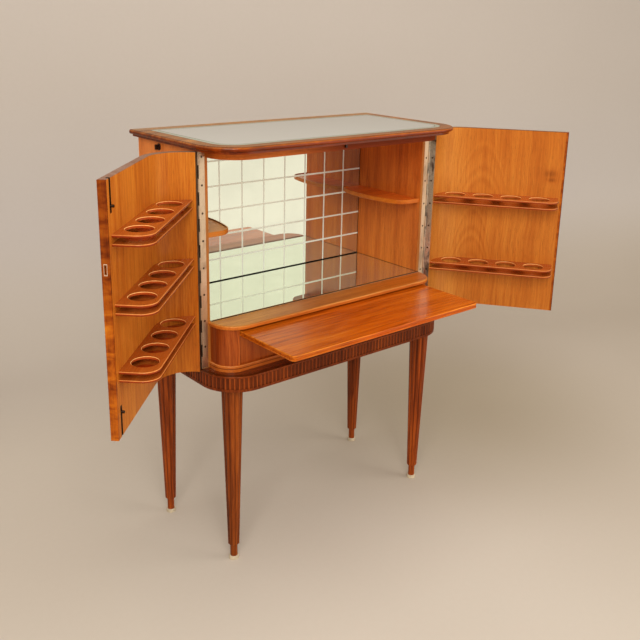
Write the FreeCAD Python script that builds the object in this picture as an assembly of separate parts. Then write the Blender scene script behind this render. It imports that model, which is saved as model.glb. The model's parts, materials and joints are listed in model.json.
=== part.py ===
import FreeCAD, Part
import math
import os

# Bar cabinet on four reeded legs, shown open: two doors that wrap the rounded front
# corners on long piano hinges, glass racks inside the doors, a pull-out serving board,
# a back mirror, a mirror floor and two corner shelves.
# All sizes are in millimetres. While it is drawn, X = 0 is the cabinet's middle, Y = 0 is
# the rear edge of the top, the front is towards -Y and Z = 0 is the floor.

# Overall
height = 1250.0
overrun = 2.0
seat_gap = 0.3

# Top: a moulded frame round a flush glass plate
top_width = 932.0
top_depth = 468.0
top_corner_radius = 110.0
top_nose_thickness = 13.0
top_nose_rounding = 6.0
top_cove_height = 7.0
top_cove_inset = 11.0
glass_border_side = 41.0
glass_border_rear = 45.0
glass_border_front = 40.0
glass_corner_radius = 70.0
glass_thickness = 5.0
glass_fit = 0.3
glass_rebate_width = 8.0

# Base: fluted apron round a dark platform, on four legs
apron_side_inset = 16.0
apron_front_inset = 14.0
apron_rear_inset = 6.0
apron_corner_radius = 112.0
apron_bottom = 565.0
apron_height = 46.0
apron_thickness = 16.0
apron_rear_thickness = 6.5
apron_lower_rim = 8.0
apron_upper_rim = 5.0
apron_flute_pitch = 13.4
apron_flute_depth = 2.4
apron_arris_width = 2.0
apron_arris_setback = 0.3
platform_thickness = 12.0

# Legs and glides
front_leg_side_inset = 68.5
front_leg_front_inset = 67.5
rear_leg_side_inset = 51.0
rear_leg_rear_inset = 40.0
leg_top_radius = 32.8
leg_foot_radius = 17.2
leg_foot_height = 52.0
leg_reeds = 10
leg_reed_depth_share = 0.10
leg_foot_rounding_height = 3.0
leg_foot_rounding_inset = 3.0
ankle_radius = 11.0
tenon_radius = 13.0
tenon_length = 8.0
tenon_fit = 0.1
glide_radius = 14.5
glide_height = 11.0
glide_rounding = 2.0

# Carcass
carcass_side_inset = 25.2
carcass_rear_inset = 6.0
side_thickness = 27.4
back_inset = 5.4
back_thickness = 12.0
mirror_thickness = 5.0
mirror_fit = 0.3

# Doors, their curve and the reveal that they close over
door_front_inset = 18.0
door_corner_radius = 110.0
door_thickness = 19.0
door_bottom_gap = 1.5
door_top_gap = 2.0
door_meeting_gap = 1.5
lipping_width = 8.0
lipping_rounding = 1.2
reveal_side_gap = 3.0
reveal_front_gap = 7.0
left_door_open_angle = 134.4
right_door_open_angle = 126.2

# Frieze rail and door stop
frieze_height = 21.0
frieze_thickness = 16.0
stop_x = 10.0
stop_width = 6.0
stop_height = 9.0
stop_depth = 12.0
stop_play = 0.3

# Ledge, mirror floor and lower box
ledge_front_gap = 13.0
ledge_corner_radius = 72.0
lower_box_height = 137.5
ledge_thickness = 12.5
ledge_lap = 8.5
ledge_top_rounding = 5.0
ledge_bottom_rounding = 3.0
mirror_floor_rise = 0.7
mirror_floor_thickness = 5.0
inner_floor_thickness = 11.0
moulding_front_inset = 8.0
moulding_corner_radius = 60.0
moulding_height = 18.0
moulding_rounding = 3.0
post_inset = 5.0
post_thickness = 16.0
post_width = 47.4
lower_panel_recess = 8.0
lower_panel_thickness = 12.0

# Serving board and its runners
board_side_gap = 1.0
board_thickness = 16.0
board_front_gap = 10.0
board_travel = 224.0
board_rear_room = 16.0
board_corner_radius = 14.0
board_bead_height = 5.5
board_bead_rounding = 2.5
board_cove_depth = 3.0
board_play = 0.3
board_headroom = 2.2
runner_thickness = 16.0
runner_bearing = 25.0
runner_guide_height = 14.0
board_stop_radius = 5.0
board_stop_length = 10.0
board_stop_inset = 115.0

# Corner shelves
shelf_height_share = 0.5248
shelf_thickness = 14.5
shelf_width = 106.0
shelf_widest_share = 0.46
shelf_setback = 3.5
shelf_side_sag = 14.3
shelf_front_radius = 50.0
shelf_back_radius = 35.0
shelf_rim_width = 4.5
shelf_rim_height = 3.0
shelf_top_rounding = 1.5
shelf_bottom_rounding = 3.0

# Door racks: an upper plate with four holes over a plain lower plate
rack_upper_thickness = 6.5
rack_lower_thickness = 6.0
rack_gap = 14.5
rack_depth = 90.0
left_rack_end = 24.0
right_rack_end = 14.0
rack_corner_radius = 40.0
rack_edge_rounding = 2.2
rack_hole_radius = 33.0
rack_hole_setback = 44.0
left_hole_pitch = 90.0
right_hole_pitch = 92.5
rack_hole_rounding = 1.5
left_first_hole = 90.0
right_first_hole = 76.0
rack_ledge_room = 2.0
left_rack_high_share = 0.7961
left_rack_middle_share = 0.5337
right_rack_high_share = 0.6442

# Piano hinges
hinge_leaf_width = 18.0
hinge_leaf_thickness = 1.2
hinge_leaf_gap = 0.6
hinge_pin_radius = 1.2
hinge_pin_fit = 0.05
hinge_knuckle_radius = 2.4
hinge_knuckle_gap = 0.5
hinge_knuckles = 17
hinge_pin_stand = 2.8
hinge_curve_gap = 10.0
hinge_end_gap = 2.0
hinge_screws = 8
hinge_screw_first = 15.0
hinge_screw_last = 63.0
screw_head_radius = 3.0
screw_shank_radius = 1.5
screw_length = 12.0
screw_fit = 0.05
screw_slot_width = 0.7
screw_slot_depth = 0.4

# Flush bolts of the left door
flush_bolt_x = 29.0
channel_width = 12.0
channel_depth = 8.0
channel_length = 78.0
channel_slot_foot = 5.0
rod_width = 4.8
rod_depth = 4.4
rod_length = 67.0
rod_play = 0.3
rod_setback = 1.5
rod_knob_radius = 3.5
rod_knob_stand = 8.0
rod_knob_rise = 5.5
flush_bolt_travel = 12.0
keeper_radius = 4.2
keeper_depth = 11.0

# Lock of the right door and strike of the left one
lock_height_share = 0.675
strike_length = 27.0
strike_width = 8.0
strike_thickness = 1.5
strike_pocket_depth = 13.0
lock_plate_length = 60.0
lock_plate_width = 14.0
lock_plate_thickness = 2.0
lock_case_length = 50.0
lock_case_height = 46.0
lock_case_thickness = 11.0
lock_case_drop = 8.0
lock_wall = 2.0
lock_fit = 0.2
bolt_height = 18.0
bolt_thickness = 4.0
bolt_length = 30.0
bolt_play = 0.3
bolt_setback = 0.3
bolt_travel = 8.0
key_backset = 30.0
key_drop = 18.0
key_shaft_radius = 2.5
key_hole_play = 0.4
key_stand = 20.0
key_bit_reach = 7.0
key_bit_height = 3.0
key_bit_width = 4.0
key_bow_radius = 12.0
key_bow_hole_radius = 7.5
key_bow_thickness = 3.0
escutcheon_radius = 11.0
escutcheon_thickness = 1.5

# Turn switch on the left side
switch_y = 125.0
switch_drop = 37.0
rosette_radius = 9.5
rosette_thickness = 2.5
rosette_rounding = 1.0
switch_stem_radius = 3.5
switch_stem_play = 0.3
switch_collar_radius = 6.5
switch_collar_thickness = 4.0
switch_grip_length = 15.0
switch_grip_thickness = 4.0
switch_grip_height = 7.0
switch_grip_rounding = 1.2

# Places worked out from the sizes above
apron_width = top_width - 2 * apron_side_inset
apron_front = top_depth - apron_front_inset
carcass_width = top_width - 2 * carcass_side_inset
half_carcass = carcass_width / 2
half_inside = half_carcass - side_thickness
base_top = apron_bottom + apron_height
top_thickness = top_nose_thickness + top_cove_height
top_underside = height - top_thickness
door_bottom = base_top + door_bottom_gap
door_top = top_underside - door_top_gap
door_height = door_top - door_bottom
door_front = top_depth - door_front_inset
lock_height = door_bottom + lock_height_share * door_height
door_inner_half = half_carcass - door_thickness
door_inner_front = door_front - door_thickness
door_inner_radius = door_corner_radius - door_thickness
door_middle = door_front - door_thickness / 2
reveal_half = door_inner_half - reveal_side_gap
reveal_front = door_inner_front - reveal_front_gap
reveal_radius = door_inner_radius - reveal_front_gap
hinge_y = door_front - door_corner_radius - hinge_curve_gap
hinge_x = half_carcass + hinge_pin_stand
side_front = hinge_y - hinge_leaf_gap / 2 - hinge_leaf_thickness
door_end = hinge_y + hinge_leaf_gap / 2 + hinge_leaf_thickness
back_rear = carcass_rear_inset + back_inset
back_front = back_rear + back_thickness
mirror_face = back_front + mirror_thickness
ledge_top = base_top + lower_box_height
ledge_rear = side_front + ledge_lap
mirror_floor_top = ledge_top + mirror_floor_rise
inner_floor_top = mirror_floor_top - mirror_floor_thickness
inner_floor_bottom = inner_floor_top - inner_floor_thickness
ledge_bottom = ledge_top - ledge_thickness
board_top = inner_floor_bottom - board_headroom
board_bottom = board_top - board_thickness
ledge_front = door_inner_front - ledge_front_gap
moulding_front = ledge_front - moulding_front_inset
post_front = moulding_front - post_inset
post_radius = moulding_corner_radius - post_inset
lower_panel_front = post_front - lower_panel_recess
lower_panel_back = lower_panel_front - lower_panel_thickness
slot_half_width = half_inside - post_width
board_width = 2 * (slot_half_width - board_side_gap)
board_front = door_inner_front - board_front_gap + board_travel
shelf_top = mirror_floor_top + shelf_height_share * (top_underside - mirror_floor_top)
shelf_front = side_front - shelf_setback
shelf_depth = shelf_front - mirror_face - mirror_fit
shelf_widest_depth = shelf_widest_share * shelf_depth
shelf_side_run = shelf_depth - shelf_front_radius - shelf_widest_depth
shelf_side_radius = (shelf_side_run ** 2 + shelf_side_sag ** 2) / (2 * shelf_side_sag)
rack_low_top = ledge_top + rack_ledge_room + rack_lower_thickness + rack_gap + rack_upper_thickness
half_meeting = door_meeting_gap / 2


def vec(x, y, z=0.0):
    return FreeCAD.Vector(x, y, z)


def box(x0, x1, y0, y1, z0, z1):
    """Block between two corners, given as low and high values of each axis."""
    return Part.makeBox(x1 - x0, y1 - y0, z1 - z0, vec(x0, y0, z0))


def rod(radius, start, length, direction):
    return Part.makeCylinder(radius, length, start, direction)


def line(a, b):
    return Part.LineSegment(a, b).toShape()


def arc_about(centre, radius, start_deg, end_deg):
    """Arc in a level plane about a centre, from one angle to another."""
    points = []
    for angle in (start_deg, (start_deg + end_deg) / 2, end_deg):
        turn = math.radians(angle)
        points.append(centre + vec(radius * math.cos(turn), radius * math.sin(turn)))
    return Part.Arc(*points).toShape()


def bow_face(half, rear, front, radius):
    """Plan that is square at the rear and has two rounded front corners."""
    corner = front - radius
    return Part.Face(Part.Wire([
        line(vec(half, -rear), vec(-half, -rear)),
        line(vec(-half, -rear), vec(-half, -corner)),
        arc_about(vec(-half + radius, -corner), radius, 180.0, 270.0),
        line(vec(-half + radius, -front), vec(half - radius, -front)),
        arc_about(vec(half - radius, -corner), radius, 270.0, 360.0),
        line(vec(half, -corner), vec(half, -rear)),
    ]))


def raised(face, z0, z1):
    """Solid that stands on a plan between two heights."""
    solid = face.extrude(vec(0, 0, z1 - z0))
    solid.translate(vec(0, 0, z0))
    return solid


def bow_slab(half, rear, front, radius, z0, z1):
    return raised(bow_face(half, rear, front, radius), z0, z1)


def level_edges(solid, z, keep):
    """Edges of a solid that lie at one height and pass a test on their middle."""
    found = []
    for edge in solid.Edges:
        box_of = edge.BoundBox
        if abs(box_of.ZMin - z) < 0.001 * height and box_of.ZLength < 0.001 * overrun:
            if keep(edge.CenterOfMass):
                found.append(edge)
    return found


def rounded(solid, radius, z, keep):
    return solid.makeFillet(radius, level_edges(solid, z, keep))


def not_rear(rear):
    return lambda middle: middle.y < -rear - overrun


def mirrored(shape):
    return shape.mirror(vec(0, 0), vec(1, 0))


def both_sides(left, name, parts):
    """Keep a left piece and its mirror image under left and right names."""
    parts["left_" + name] = left
    parts["right_" + name] = mirrored(left)


def grouped(solids):
    return Part.makeCompound(solids)


def opened(shape, side):
    """Swing a piece of a closed door to the open place that it rests in."""
    angle = -left_door_open_angle if side < 0 else right_door_open_angle
    swung = shape.copy()
    swung.rotate(vec(side * hinge_x, -hinge_y), vec(0, 0, 1), angle)
    return swung


# Top

def top_parts():
    half = top_width / 2
    nose_bottom = height - top_nose_thickness
    nose = bow_slab(half, 0.0, top_depth, top_corner_radius, nose_bottom, height)
    for level in (height, nose_bottom):
        nose = rounded(nose, top_nose_rounding, level, not_rear(0.0))
    cove = bow_slab(half - top_cove_inset, 0.0, top_depth - top_cove_inset,
                    top_corner_radius - top_cove_inset, top_underside, nose_bottom)
    glass_half = half - glass_border_side
    glass_front = top_depth - glass_border_front
    recess = bow_slab(glass_half, glass_border_rear, glass_front, glass_corner_radius,
                      height - glass_thickness, height + overrun)
    inner = (glass_half - glass_rebate_width, glass_border_rear + glass_rebate_width,
             glass_front - glass_rebate_width, glass_corner_radius - glass_rebate_width)
    opening = bow_slab(*inner, top_underside - overrun, height)
    keeper = rod(keeper_radius, vec(-flush_bolt_x, -flush_rod_middle(), top_underside - overrun),
                 keeper_depth + overrun, vec(0, 0, 1))
    frame = nose.fuse(cove).removeSplitter().cut(recess).cut(opening).cut(keeper)
    plate = bow_slab(glass_half - glass_fit, glass_border_rear + glass_fit, glass_front - glass_fit,
                     glass_corner_radius - glass_fit, height - glass_thickness, height)
    panel = bow_slab(*inner, top_underside, height - glass_thickness)
    return {"top_frame": frame, "top_glass": plate, "top_panel": panel}


# Base

def flush_rod_middle():
    """Depth from the rear edge of the flush bolts' rods while the door is closed."""
    return door_inner_front + rod_setback + rod_depth / 2


def along_apron(distance, setback):
    """Point and outward direction on the apron's sides and front, from the left rear."""
    radius = apron_corner_radius - setback
    half = apron_width / 2 - setback
    corner_y = apron_front - apron_corner_radius
    side = corner_y - apron_rear_inset
    bend = radius * math.pi / 2
    front = apron_width - 2 * apron_corner_radius
    if distance <= side:
        return vec(-half, -apron_rear_inset - distance), vec(-1, 0)
    if distance <= side + bend:
        turn = math.pi + (distance - side) / radius
        out = vec(math.cos(turn), math.sin(turn))
        return vec(-half + radius, -corner_y) + out * radius, out
    if distance <= side + bend + front:
        x = -half + radius + distance - side - bend
        return vec(x, -apron_front + setback), vec(0, -1)
    point, out = along_apron(2 * (side + bend) + front - distance, setback)
    return vec(-point.x, point.y), vec(-out.x, out.y)


def fluted_face():
    """Plan of the apron's fluted band: hollow arcs with a narrow arris between them."""
    setback = apron_arris_setback
    radius = apron_corner_radius - setback
    side = apron_front - apron_corner_radius - apron_rear_inset
    total = 2 * side + math.pi * radius + apron_width - 2 * apron_corner_radius
    count = round(total / apron_flute_pitch)
    step = total / count
    half_arris = apron_arris_width / 2
    last = along_apron(0.0, setback)[0]
    edges = []
    for number in range(count):
        start = along_apron(number * step + half_arris, setback)[0]
        middle, out = along_apron((number + 0.5) * step, setback)
        end = along_apron((number + 1) * step - half_arris, setback)[0]
        edges.append(line(last, start))
        edges.append(Part.Arc(start, middle - out * apron_flute_depth, end).toShape())
        last = end
    far = along_apron(total, setback)[0]
    edges.append(line(last, far))
    edges.append(line(far, along_apron(0.0, setback)[0]))
    return Part.Face(Part.Wire(edges))


def apron_inside(z0, z1):
    return bow_slab(apron_width / 2 - apron_thickness, apron_rear_inset + apron_rear_thickness,
                    apron_front - apron_thickness, apron_corner_radius - apron_thickness, z0, z1)


def apron():
    flutes_from = apron_bottom + apron_lower_rim
    flutes_to = base_top - apron_upper_rim
    plan = (apron_width / 2, apron_rear_inset, apron_front, apron_corner_radius)
    lower = bow_slab(*plan, apron_bottom, flutes_from)
    upper = bow_slab(*plan, flutes_to, base_top)
    upper = rounded(upper, apron_upper_rim / 4, base_top, not_rear(apron_rear_inset))
    band = raised(fluted_face(), flutes_from, flutes_to)
    ring = lower.fuse([band, upper])
    return ring.cut(apron_inside(apron_bottom - overrun, base_top + overrun))


def leg_places():
    front_x = apron_width / 2 - front_leg_side_inset
    front_y = apron_front - front_leg_front_inset
    rear_x = apron_width / 2 - rear_leg_side_inset
    rear_y = apron_rear_inset + rear_leg_rear_inset
    return {"front_left": (-front_x, -front_y), "front_right": (front_x, -front_y),
            "rear_left": (-rear_x, -rear_y), "rear_right": (rear_x, -rear_y)}


def platform():
    underside = base_top - platform_thickness
    board = apron_inside(underside, base_top)
    for x, y in leg_places().values():
        board = board.cut(rod(tenon_radius + tenon_fit, vec(x, y, underside - overrun),
                              tenon_length + tenon_fit + overrun, vec(0, 0, 1)))
    keeper = rod(keeper_radius, vec(-flush_bolt_x, -flush_rod_middle(), underside - overrun),
                 platform_thickness + 2 * overrun, vec(0, 0, 1))
    return board.cut(keeper)


def reeded_wire(radius, z):
    """Closed ring of outward arcs, one for each reed of a leg."""
    valley = radius * (1 - leg_reed_depth_share)
    step = 2 * math.pi / leg_reeds
    edges = []
    for number in range(leg_reeds):
        points = []
        for part, reach in ((0.0, valley), (0.5, radius), (1.0, valley)):
            turn = (number + part) * step
            points.append(vec(reach * math.cos(turn), reach * math.sin(turn), z))
        edges.append(Part.Arc(*points).toShape())
    return Part.Wire(edges)


def leg():
    """One leg about its own axis: reeded taper, rounded end, ankle and top tenon."""
    leg_top = base_top - platform_thickness
    foot_end = leg_foot_height - leg_foot_rounding_height
    taper = Part.makeLoft([reeded_wire(leg_top_radius, leg_top),
                           reeded_wire(leg_foot_radius, leg_foot_height)], True, True)
    end = Part.makeLoft([reeded_wire(leg_foot_radius, leg_foot_height),
                         reeded_wire(leg_foot_radius - leg_foot_rounding_inset, foot_end)], True, True)
    ankle = rod(ankle_radius, vec(0, 0, glide_height), leg_foot_height - glide_height, vec(0, 0, 1))
    tenon = rod(tenon_radius, vec(0, 0, leg_top), tenon_length, vec(0, 0, 1))
    return taper.fuse([end, ankle, tenon])


def base_parts():
    parts = {"fluted_apron": apron(), "base_platform": platform()}
    glides = []
    for name, (x, y) in leg_places().items():
        placed = leg()
        placed.translate(vec(x, y))
        parts["leg_" + name] = placed
        glide = rod(glide_radius, vec(x, y), glide_height, vec(0, 0, 1))
        glides.append(rounded(glide, glide_rounding, glide_height, lambda middle: True))
    parts["leg_glides"] = grouped(glides)
    return parts


# Carcass

def screw_heights():
    first = door_top - hinge_end_gap / 2 - hinge_screw_first
    row = door_height - hinge_end_gap - hinge_screw_first - hinge_screw_last
    return [first - number * row / (hinge_screws - 1) for number in range(hinge_screws)]


def screw_x():
    return half_carcass - hinge_leaf_width / 2


def screws(face_y, outward):
    """Left row of countersunk screws whose heads lie flush in a face of a leaf."""
    solids = []
    for z in screw_heights():
        start = vec(-screw_x(), face_y, z)
        inward = vec(0, -outward)
        head = rod(screw_head_radius, start, hinge_leaf_thickness, inward)
        shank = rod(screw_shank_radius, start, screw_length, inward)
        half_slot = screw_slot_width / 2
        slot = box(-screw_head_radius, screw_head_radius, -screw_slot_depth, screw_slot_depth,
                   -half_slot, half_slot)
        slot.translate(start)
        solids.append(head.fuse(shank).cut(slot))
    return grouped(solids)


def screw_room(face_y, outward):
    """Space for a leaf's screws: wide through the leaf and narrow behind it."""
    rooms = []
    for z in screw_heights():
        start = vec(-screw_x(), face_y + outward * screw_slot_depth, z)
        inward = vec(0, -outward)
        rooms.append(rod(screw_head_radius + screw_fit, start,
                         hinge_leaf_thickness + screw_slot_depth, inward))
        rooms.append(rod(screw_shank_radius + screw_fit, start,
                         screw_length + screw_slot_depth + screw_fit, inward))
    return rooms


def carcass_leaf_face():
    return -side_front - hinge_leaf_thickness


def door_leaf_face():
    return -door_end + hinge_leaf_thickness


def left_side():
    panel = box(-half_carcass, -half_inside, -side_front, -carcass_rear_inset, base_top, top_underside)
    return panel.cut(screw_room(carcass_leaf_face(), -1))


def frieze():
    z0 = top_underside - frieze_height
    outer = bow_slab(reveal_half, side_front, reveal_front, reveal_radius, z0, top_underside)
    inner = bow_slab(reveal_half - frieze_thickness, side_front - overrun,
                     reveal_front - frieze_thickness, reveal_radius - frieze_thickness,
                     z0 - overrun, top_underside + overrun)
    return outer.cut(inner).cut(door_stop())


def door_stop():
    """Small dark block let into the frieze, which the left door rests against."""
    y0 = -door_inner_front + stop_play
    z = top_underside - frieze_height / 2 + stop_play
    return box(-stop_x - stop_width / 2, -stop_x + stop_width / 2, y0, y0 + stop_depth,
               z - stop_height / 2, z + stop_height / 2)


def carcass_parts():
    parts = {}
    both_sides(left_side(), "side_panel", parts)
    parts["back_panel"] = box(-half_inside, half_inside, -back_front, -back_rear, base_top,
                              top_underside)
    parts["back_mirror"] = box(-half_inside + mirror_fit, half_inside - mirror_fit, -mirror_face,
                               -back_front, inner_floor_top, top_underside - mirror_fit)
    parts["inner_floor"] = box(-half_inside, half_inside, -ledge_rear, -back_front,
                               inner_floor_bottom, inner_floor_top)
    parts["mirror_floor"] = box(-half_inside + mirror_fit, half_inside - mirror_fit,
                                -ledge_rear + mirror_fit, -mirror_face - mirror_fit,
                                inner_floor_top, mirror_floor_top)
    parts["frieze_rail"] = frieze()
    parts["door_stop"] = door_stop()
    return parts


# Ledge and lower box

def ledge():
    slab = bow_slab(reveal_half, side_front, ledge_front, ledge_corner_radius, ledge_bottom, ledge_top)
    slab = rounded(slab, ledge_top_rounding, ledge_top, not_rear(side_front))
    slab = rounded(slab, ledge_bottom_rounding, ledge_bottom, not_rear(side_front))
    return slab.cut(box(-half_inside, half_inside, -ledge_rear, -side_front + overrun,
                        ledge_bottom - overrun, ledge_top + overrun))


def left_post():
    plan = (half_inside, side_front, post_front, post_radius)
    outer = bow_slab(*plan, base_top, ledge_bottom)
    inner = bow_slab(half_inside - post_thickness, side_front - overrun, post_front - post_thickness,
                     post_radius - post_thickness, base_top - overrun, ledge_bottom + overrun)
    beyond = box(-slot_half_width, reveal_half, -reveal_front, 0.0, base_top, ledge_bottom)
    floor_room = box(-half_inside, half_inside, -ledge_rear, 0.0, inner_floor_bottom,
                     ledge_bottom + overrun)
    return outer.cut([inner, beyond, floor_room])


def base_moulding():
    """Strip round the foot of the lower box, thicker between the corner posts."""
    z1 = base_top + moulding_height
    outer = bow_slab(reveal_half, side_front, moulding_front, moulding_corner_radius, base_top, z1)
    outer = rounded(outer, moulding_rounding, z1, not_rear(side_front))
    inner = bow_slab(half_inside, side_front - overrun, post_front, post_radius,
                     base_top - overrun, z1 + overrun)
    bar = box(-slot_half_width, slot_half_width, -post_front, -lower_panel_front, base_top,
              z1 - moulding_rounding)
    filled = bow_slab(half_inside, side_front, post_front, post_radius, base_top, z1)
    return outer.cut(inner).fuse(bar.common(filled)).removeSplitter()


def left_runner():
    """Board runner of angle section on the left side panel."""
    shelf_top_z = board_bottom - board_play
    inner = board_width / 2 - runner_bearing
    guide = board_width / 2 + board_play
    flange = box(-half_inside, -inner, -side_front, -back_front, shelf_top_z - runner_thickness,
                 shelf_top_z)
    wall = box(-half_inside, -guide, -side_front, -back_front, shelf_top_z,
               shelf_top_z + runner_guide_height)
    return flange.fuse(wall).removeSplitter()


def lower_parts():
    parts = {"ledge": ledge()}
    both_sides(left_post(), "corner_post", parts)
    parts["base_moulding"] = base_moulding()
    parts["lower_front_panel"] = box(-slot_half_width, slot_half_width, -lower_panel_front,
                                     -lower_panel_back, base_top, board_bottom - board_play)
    runner = left_runner()
    parts["board_runners"] = grouped([runner, mirrored(runner)])
    return parts


# Serving board

def board_layer(inset, z0, z1):
    half = board_width / 2 - inset
    rear = mirror_face + board_rear_room + board_travel
    return bow_slab(half, rear, board_front - inset, board_corner_radius - inset, z0, z1)


def board_parts():
    """Board with a double bead round its edge, and the two pins that stop it."""
    lower = board_layer(0.0, board_bottom, board_bottom + board_bead_height)
    upper = board_layer(0.0, board_top - board_bead_height, board_top)
    rear = mirror_face + board_rear_room + board_travel
    lower = rounded(lower, board_bead_rounding, board_bottom, not_rear(rear))
    upper = rounded(upper, board_bead_rounding, board_top, not_rear(rear))
    middle = board_layer(board_cove_depth, board_bottom, board_top)
    pins = []
    for side in (-1, 1):
        start = vec(side * (board_width / 2 - board_stop_inset),
                    -lower_panel_back + board_stop_radius + board_play,
                    board_bottom - board_stop_length)
        pins.append(rod(board_stop_radius, start, board_stop_length, vec(0, 0, 1)))
    return {"serving_board": lower.fuse([middle, upper]), "board_stops": grouped(pins)}


# Corner shelves

def shelf_corner(radius, line_y):
    """Centre of a corner arc of the left shelf that meets its long arc and a level line."""
    middle = shelf_middle()
    reach = shelf_side_radius - radius
    return vec(middle.x + math.sqrt(reach ** 2 - (line_y - middle.y) ** 2), line_y)


def shelf_middle():
    """Centre of the long arc of the left shelf's free side."""
    return vec(-half_inside + shelf_width - shelf_side_radius,
               -mirror_face - mirror_fit - shelf_widest_depth)


def shelf_plan(inset, wall):
    """Plan of the left shelf, drawn in from its free edge by an inset."""
    middle = shelf_middle()
    back_y = -mirror_face - mirror_fit
    back = shelf_corner(shelf_back_radius, back_y - shelf_back_radius)
    front = shelf_corner(shelf_front_radius, -shelf_front + shelf_front_radius)
    back_turn = math.degrees(math.atan2(back.y - middle.y, back.x - middle.x))
    front_turn = math.degrees(math.atan2(front.y - middle.y, front.x - middle.x))
    back_arc = arc_about(back, shelf_back_radius - inset, 90.0, back_turn)
    front_arc = arc_about(front, shelf_front_radius - inset, front_turn, -90.0)
    back_end = vec(back.x, back_y - inset)
    front_end = vec(front.x, -shelf_front + inset)
    return Part.Face(Part.Wire([
        line(vec(wall, back_end.y), back_end), back_arc,
        arc_about(middle, shelf_side_radius - inset, back_turn, front_turn), front_arc,
        line(front_end, vec(wall, front_end.y)), line(vec(wall, front_end.y), vec(wall, back_end.y))]))


def left_shelf():
    """Shelf with a bowed free side, rounded corners and a low rim along its free edge."""
    wall = -half_inside
    back_y = -mirror_face - mirror_fit
    shelf = raised(shelf_plan(0.0, wall), shelf_top - shelf_thickness, shelf_top)

    def free(middle):
        return middle.x > wall + overrun and middle.y < back_y - overrun

    shelf = rounded(shelf, shelf_top_rounding, shelf_top, free)
    shelf = rounded(shelf, shelf_bottom_rounding, shelf_top - shelf_thickness, free)
    recess_z = shelf_top - shelf_rim_height
    recess = raised(shelf_plan(shelf_rim_width, wall - overrun), recess_z, shelf_top + overrun)
    back = shelf_corner(shelf_back_radius, back_y - shelf_back_radius)
    behind = box(wall - overrun, back.x, back.y, back_y + overrun, recess_z, shelf_top + overrun)
    return shelf.cut([recess, behind])


# Hinges

def knuckle_row(first, leaf_y0, leaf_y1):
    """Every second knuckle of the left hinge, with its neck to the leaf."""
    z0 = door_bottom + hinge_end_gap / 2
    pitch = (door_height - hinge_end_gap) / hinge_knuckles
    solids = []
    for number in range(first, hinge_knuckles, 2):
        low = z0 + number * pitch + hinge_knuckle_gap / 2
        high = low + pitch - hinge_knuckle_gap
        barrel = rod(hinge_knuckle_radius, vec(-hinge_x, -hinge_y, low), high - low, vec(0, 0, 1))
        neck = box(-hinge_x, -half_carcass + overrun, leaf_y0, leaf_y1, low, high)
        solids.append(barrel.fuse(neck))
    return solids


def left_leaf(first, y0, y1, rooms):
    z0 = door_bottom + hinge_end_gap / 2
    z1 = door_top - hinge_end_gap / 2
    strip = box(-half_carcass, -half_carcass + hinge_leaf_width, y0, y1, z0, z1)
    leaf = strip.fuse(knuckle_row(first, y0, y1)).removeSplitter()
    bore = rod(hinge_pin_radius + hinge_pin_fit, vec(-hinge_x, -hinge_y, z0 - overrun),
               z1 - z0 + 2 * overrun, vec(0, 0, 1))
    return leaf.cut([bore] + rooms)


def carcass_hinge_parts():
    parts = {}
    face = carcass_leaf_face()
    both_sides(left_leaf(0, face, -side_front, screw_room(face, -1)), "hinge_carcass_leaf", parts)
    left = screws(face, -1)
    parts["hinge_carcass_screws"] = grouped(left.Solids + mirrored(left).Solids)
    z0 = door_bottom + hinge_end_gap / 2
    pin = rod(hinge_pin_radius, vec(-hinge_x, -hinge_y, z0), door_height - hinge_end_gap, vec(0, 0, 1))
    parts["hinge_pins"] = grouped([pin, mirrored(pin)])
    return parts


# Doors, drawn closed on the left and swung open afterwards

def door_plan():
    """Plan of the left door without its lipping: a flat front and a curved end."""
    corner_y = door_front - door_corner_radius
    centre = vec(-half_carcass + door_corner_radius, -corner_y)
    edge = -half_meeting - lipping_width
    outer_end = vec(-half_carcass, -door_end)
    inner_end = vec(-door_inner_half, -door_end)
    return Part.Face(Part.Wire([
        line(outer_end, vec(-half_carcass, -corner_y)),
        arc_about(centre, door_corner_radius, 180.0, 270.0),
        line(vec(centre.x, -door_front), vec(edge, -door_front)),
        line(vec(edge, -door_front), vec(edge, -door_inner_front)),
        line(vec(edge, -door_inner_front), vec(centre.x, -door_inner_front)),
        arc_about(centre, door_inner_radius, 270.0, 180.0),
        line(vec(-door_inner_half, -corner_y), inner_end),
        line(inner_end, outer_end),
    ]))


def door_blank():
    return raised(door_plan(), door_bottom, door_top).cut(screw_room(door_leaf_face(), 1))


def lipping():
    strip = box(-half_meeting - lipping_width, -half_meeting, -door_front, -door_inner_front,
                door_bottom, door_top)
    upright = []
    for edge in strip.Edges:
        if edge.BoundBox.ZLength > door_height / 2 and edge.CenterOfMass.x > -lipping_width:
            upright.append(edge)
    return strip.makeFillet(lipping_rounding, upright)


def rack_blank(free_end, z0, z1):
    """Plate across the inside of the left door, rounded at its free corner."""
    back = -door_inner_front - overrun
    front = -door_inner_front + rack_depth
    end = -free_end
    far = -half_carcass
    plan = Part.Face(Part.Wire([
        line(vec(far, front), vec(far, back)), line(vec(far, back), vec(end, back)),
        line(vec(end, back), vec(end, front - rack_corner_radius)),
        arc_about(vec(end - rack_corner_radius, front - rack_corner_radius), rack_corner_radius,
                  0.0, 90.0),
        line(vec(end - rack_corner_radius, front), vec(far, front)),
    ]))
    plate = raised(plan, z0, z1)

    def free(middle):
        return middle.y > back + overrun and middle.x > far + overrun

    for level in (z0, z1):
        plate = rounded(plate, rack_edge_rounding, level, free)
    room = bow_slab(door_inner_half, door_end, door_inner_front, door_inner_radius, z0, z1)
    return plate.common(room)


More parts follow.
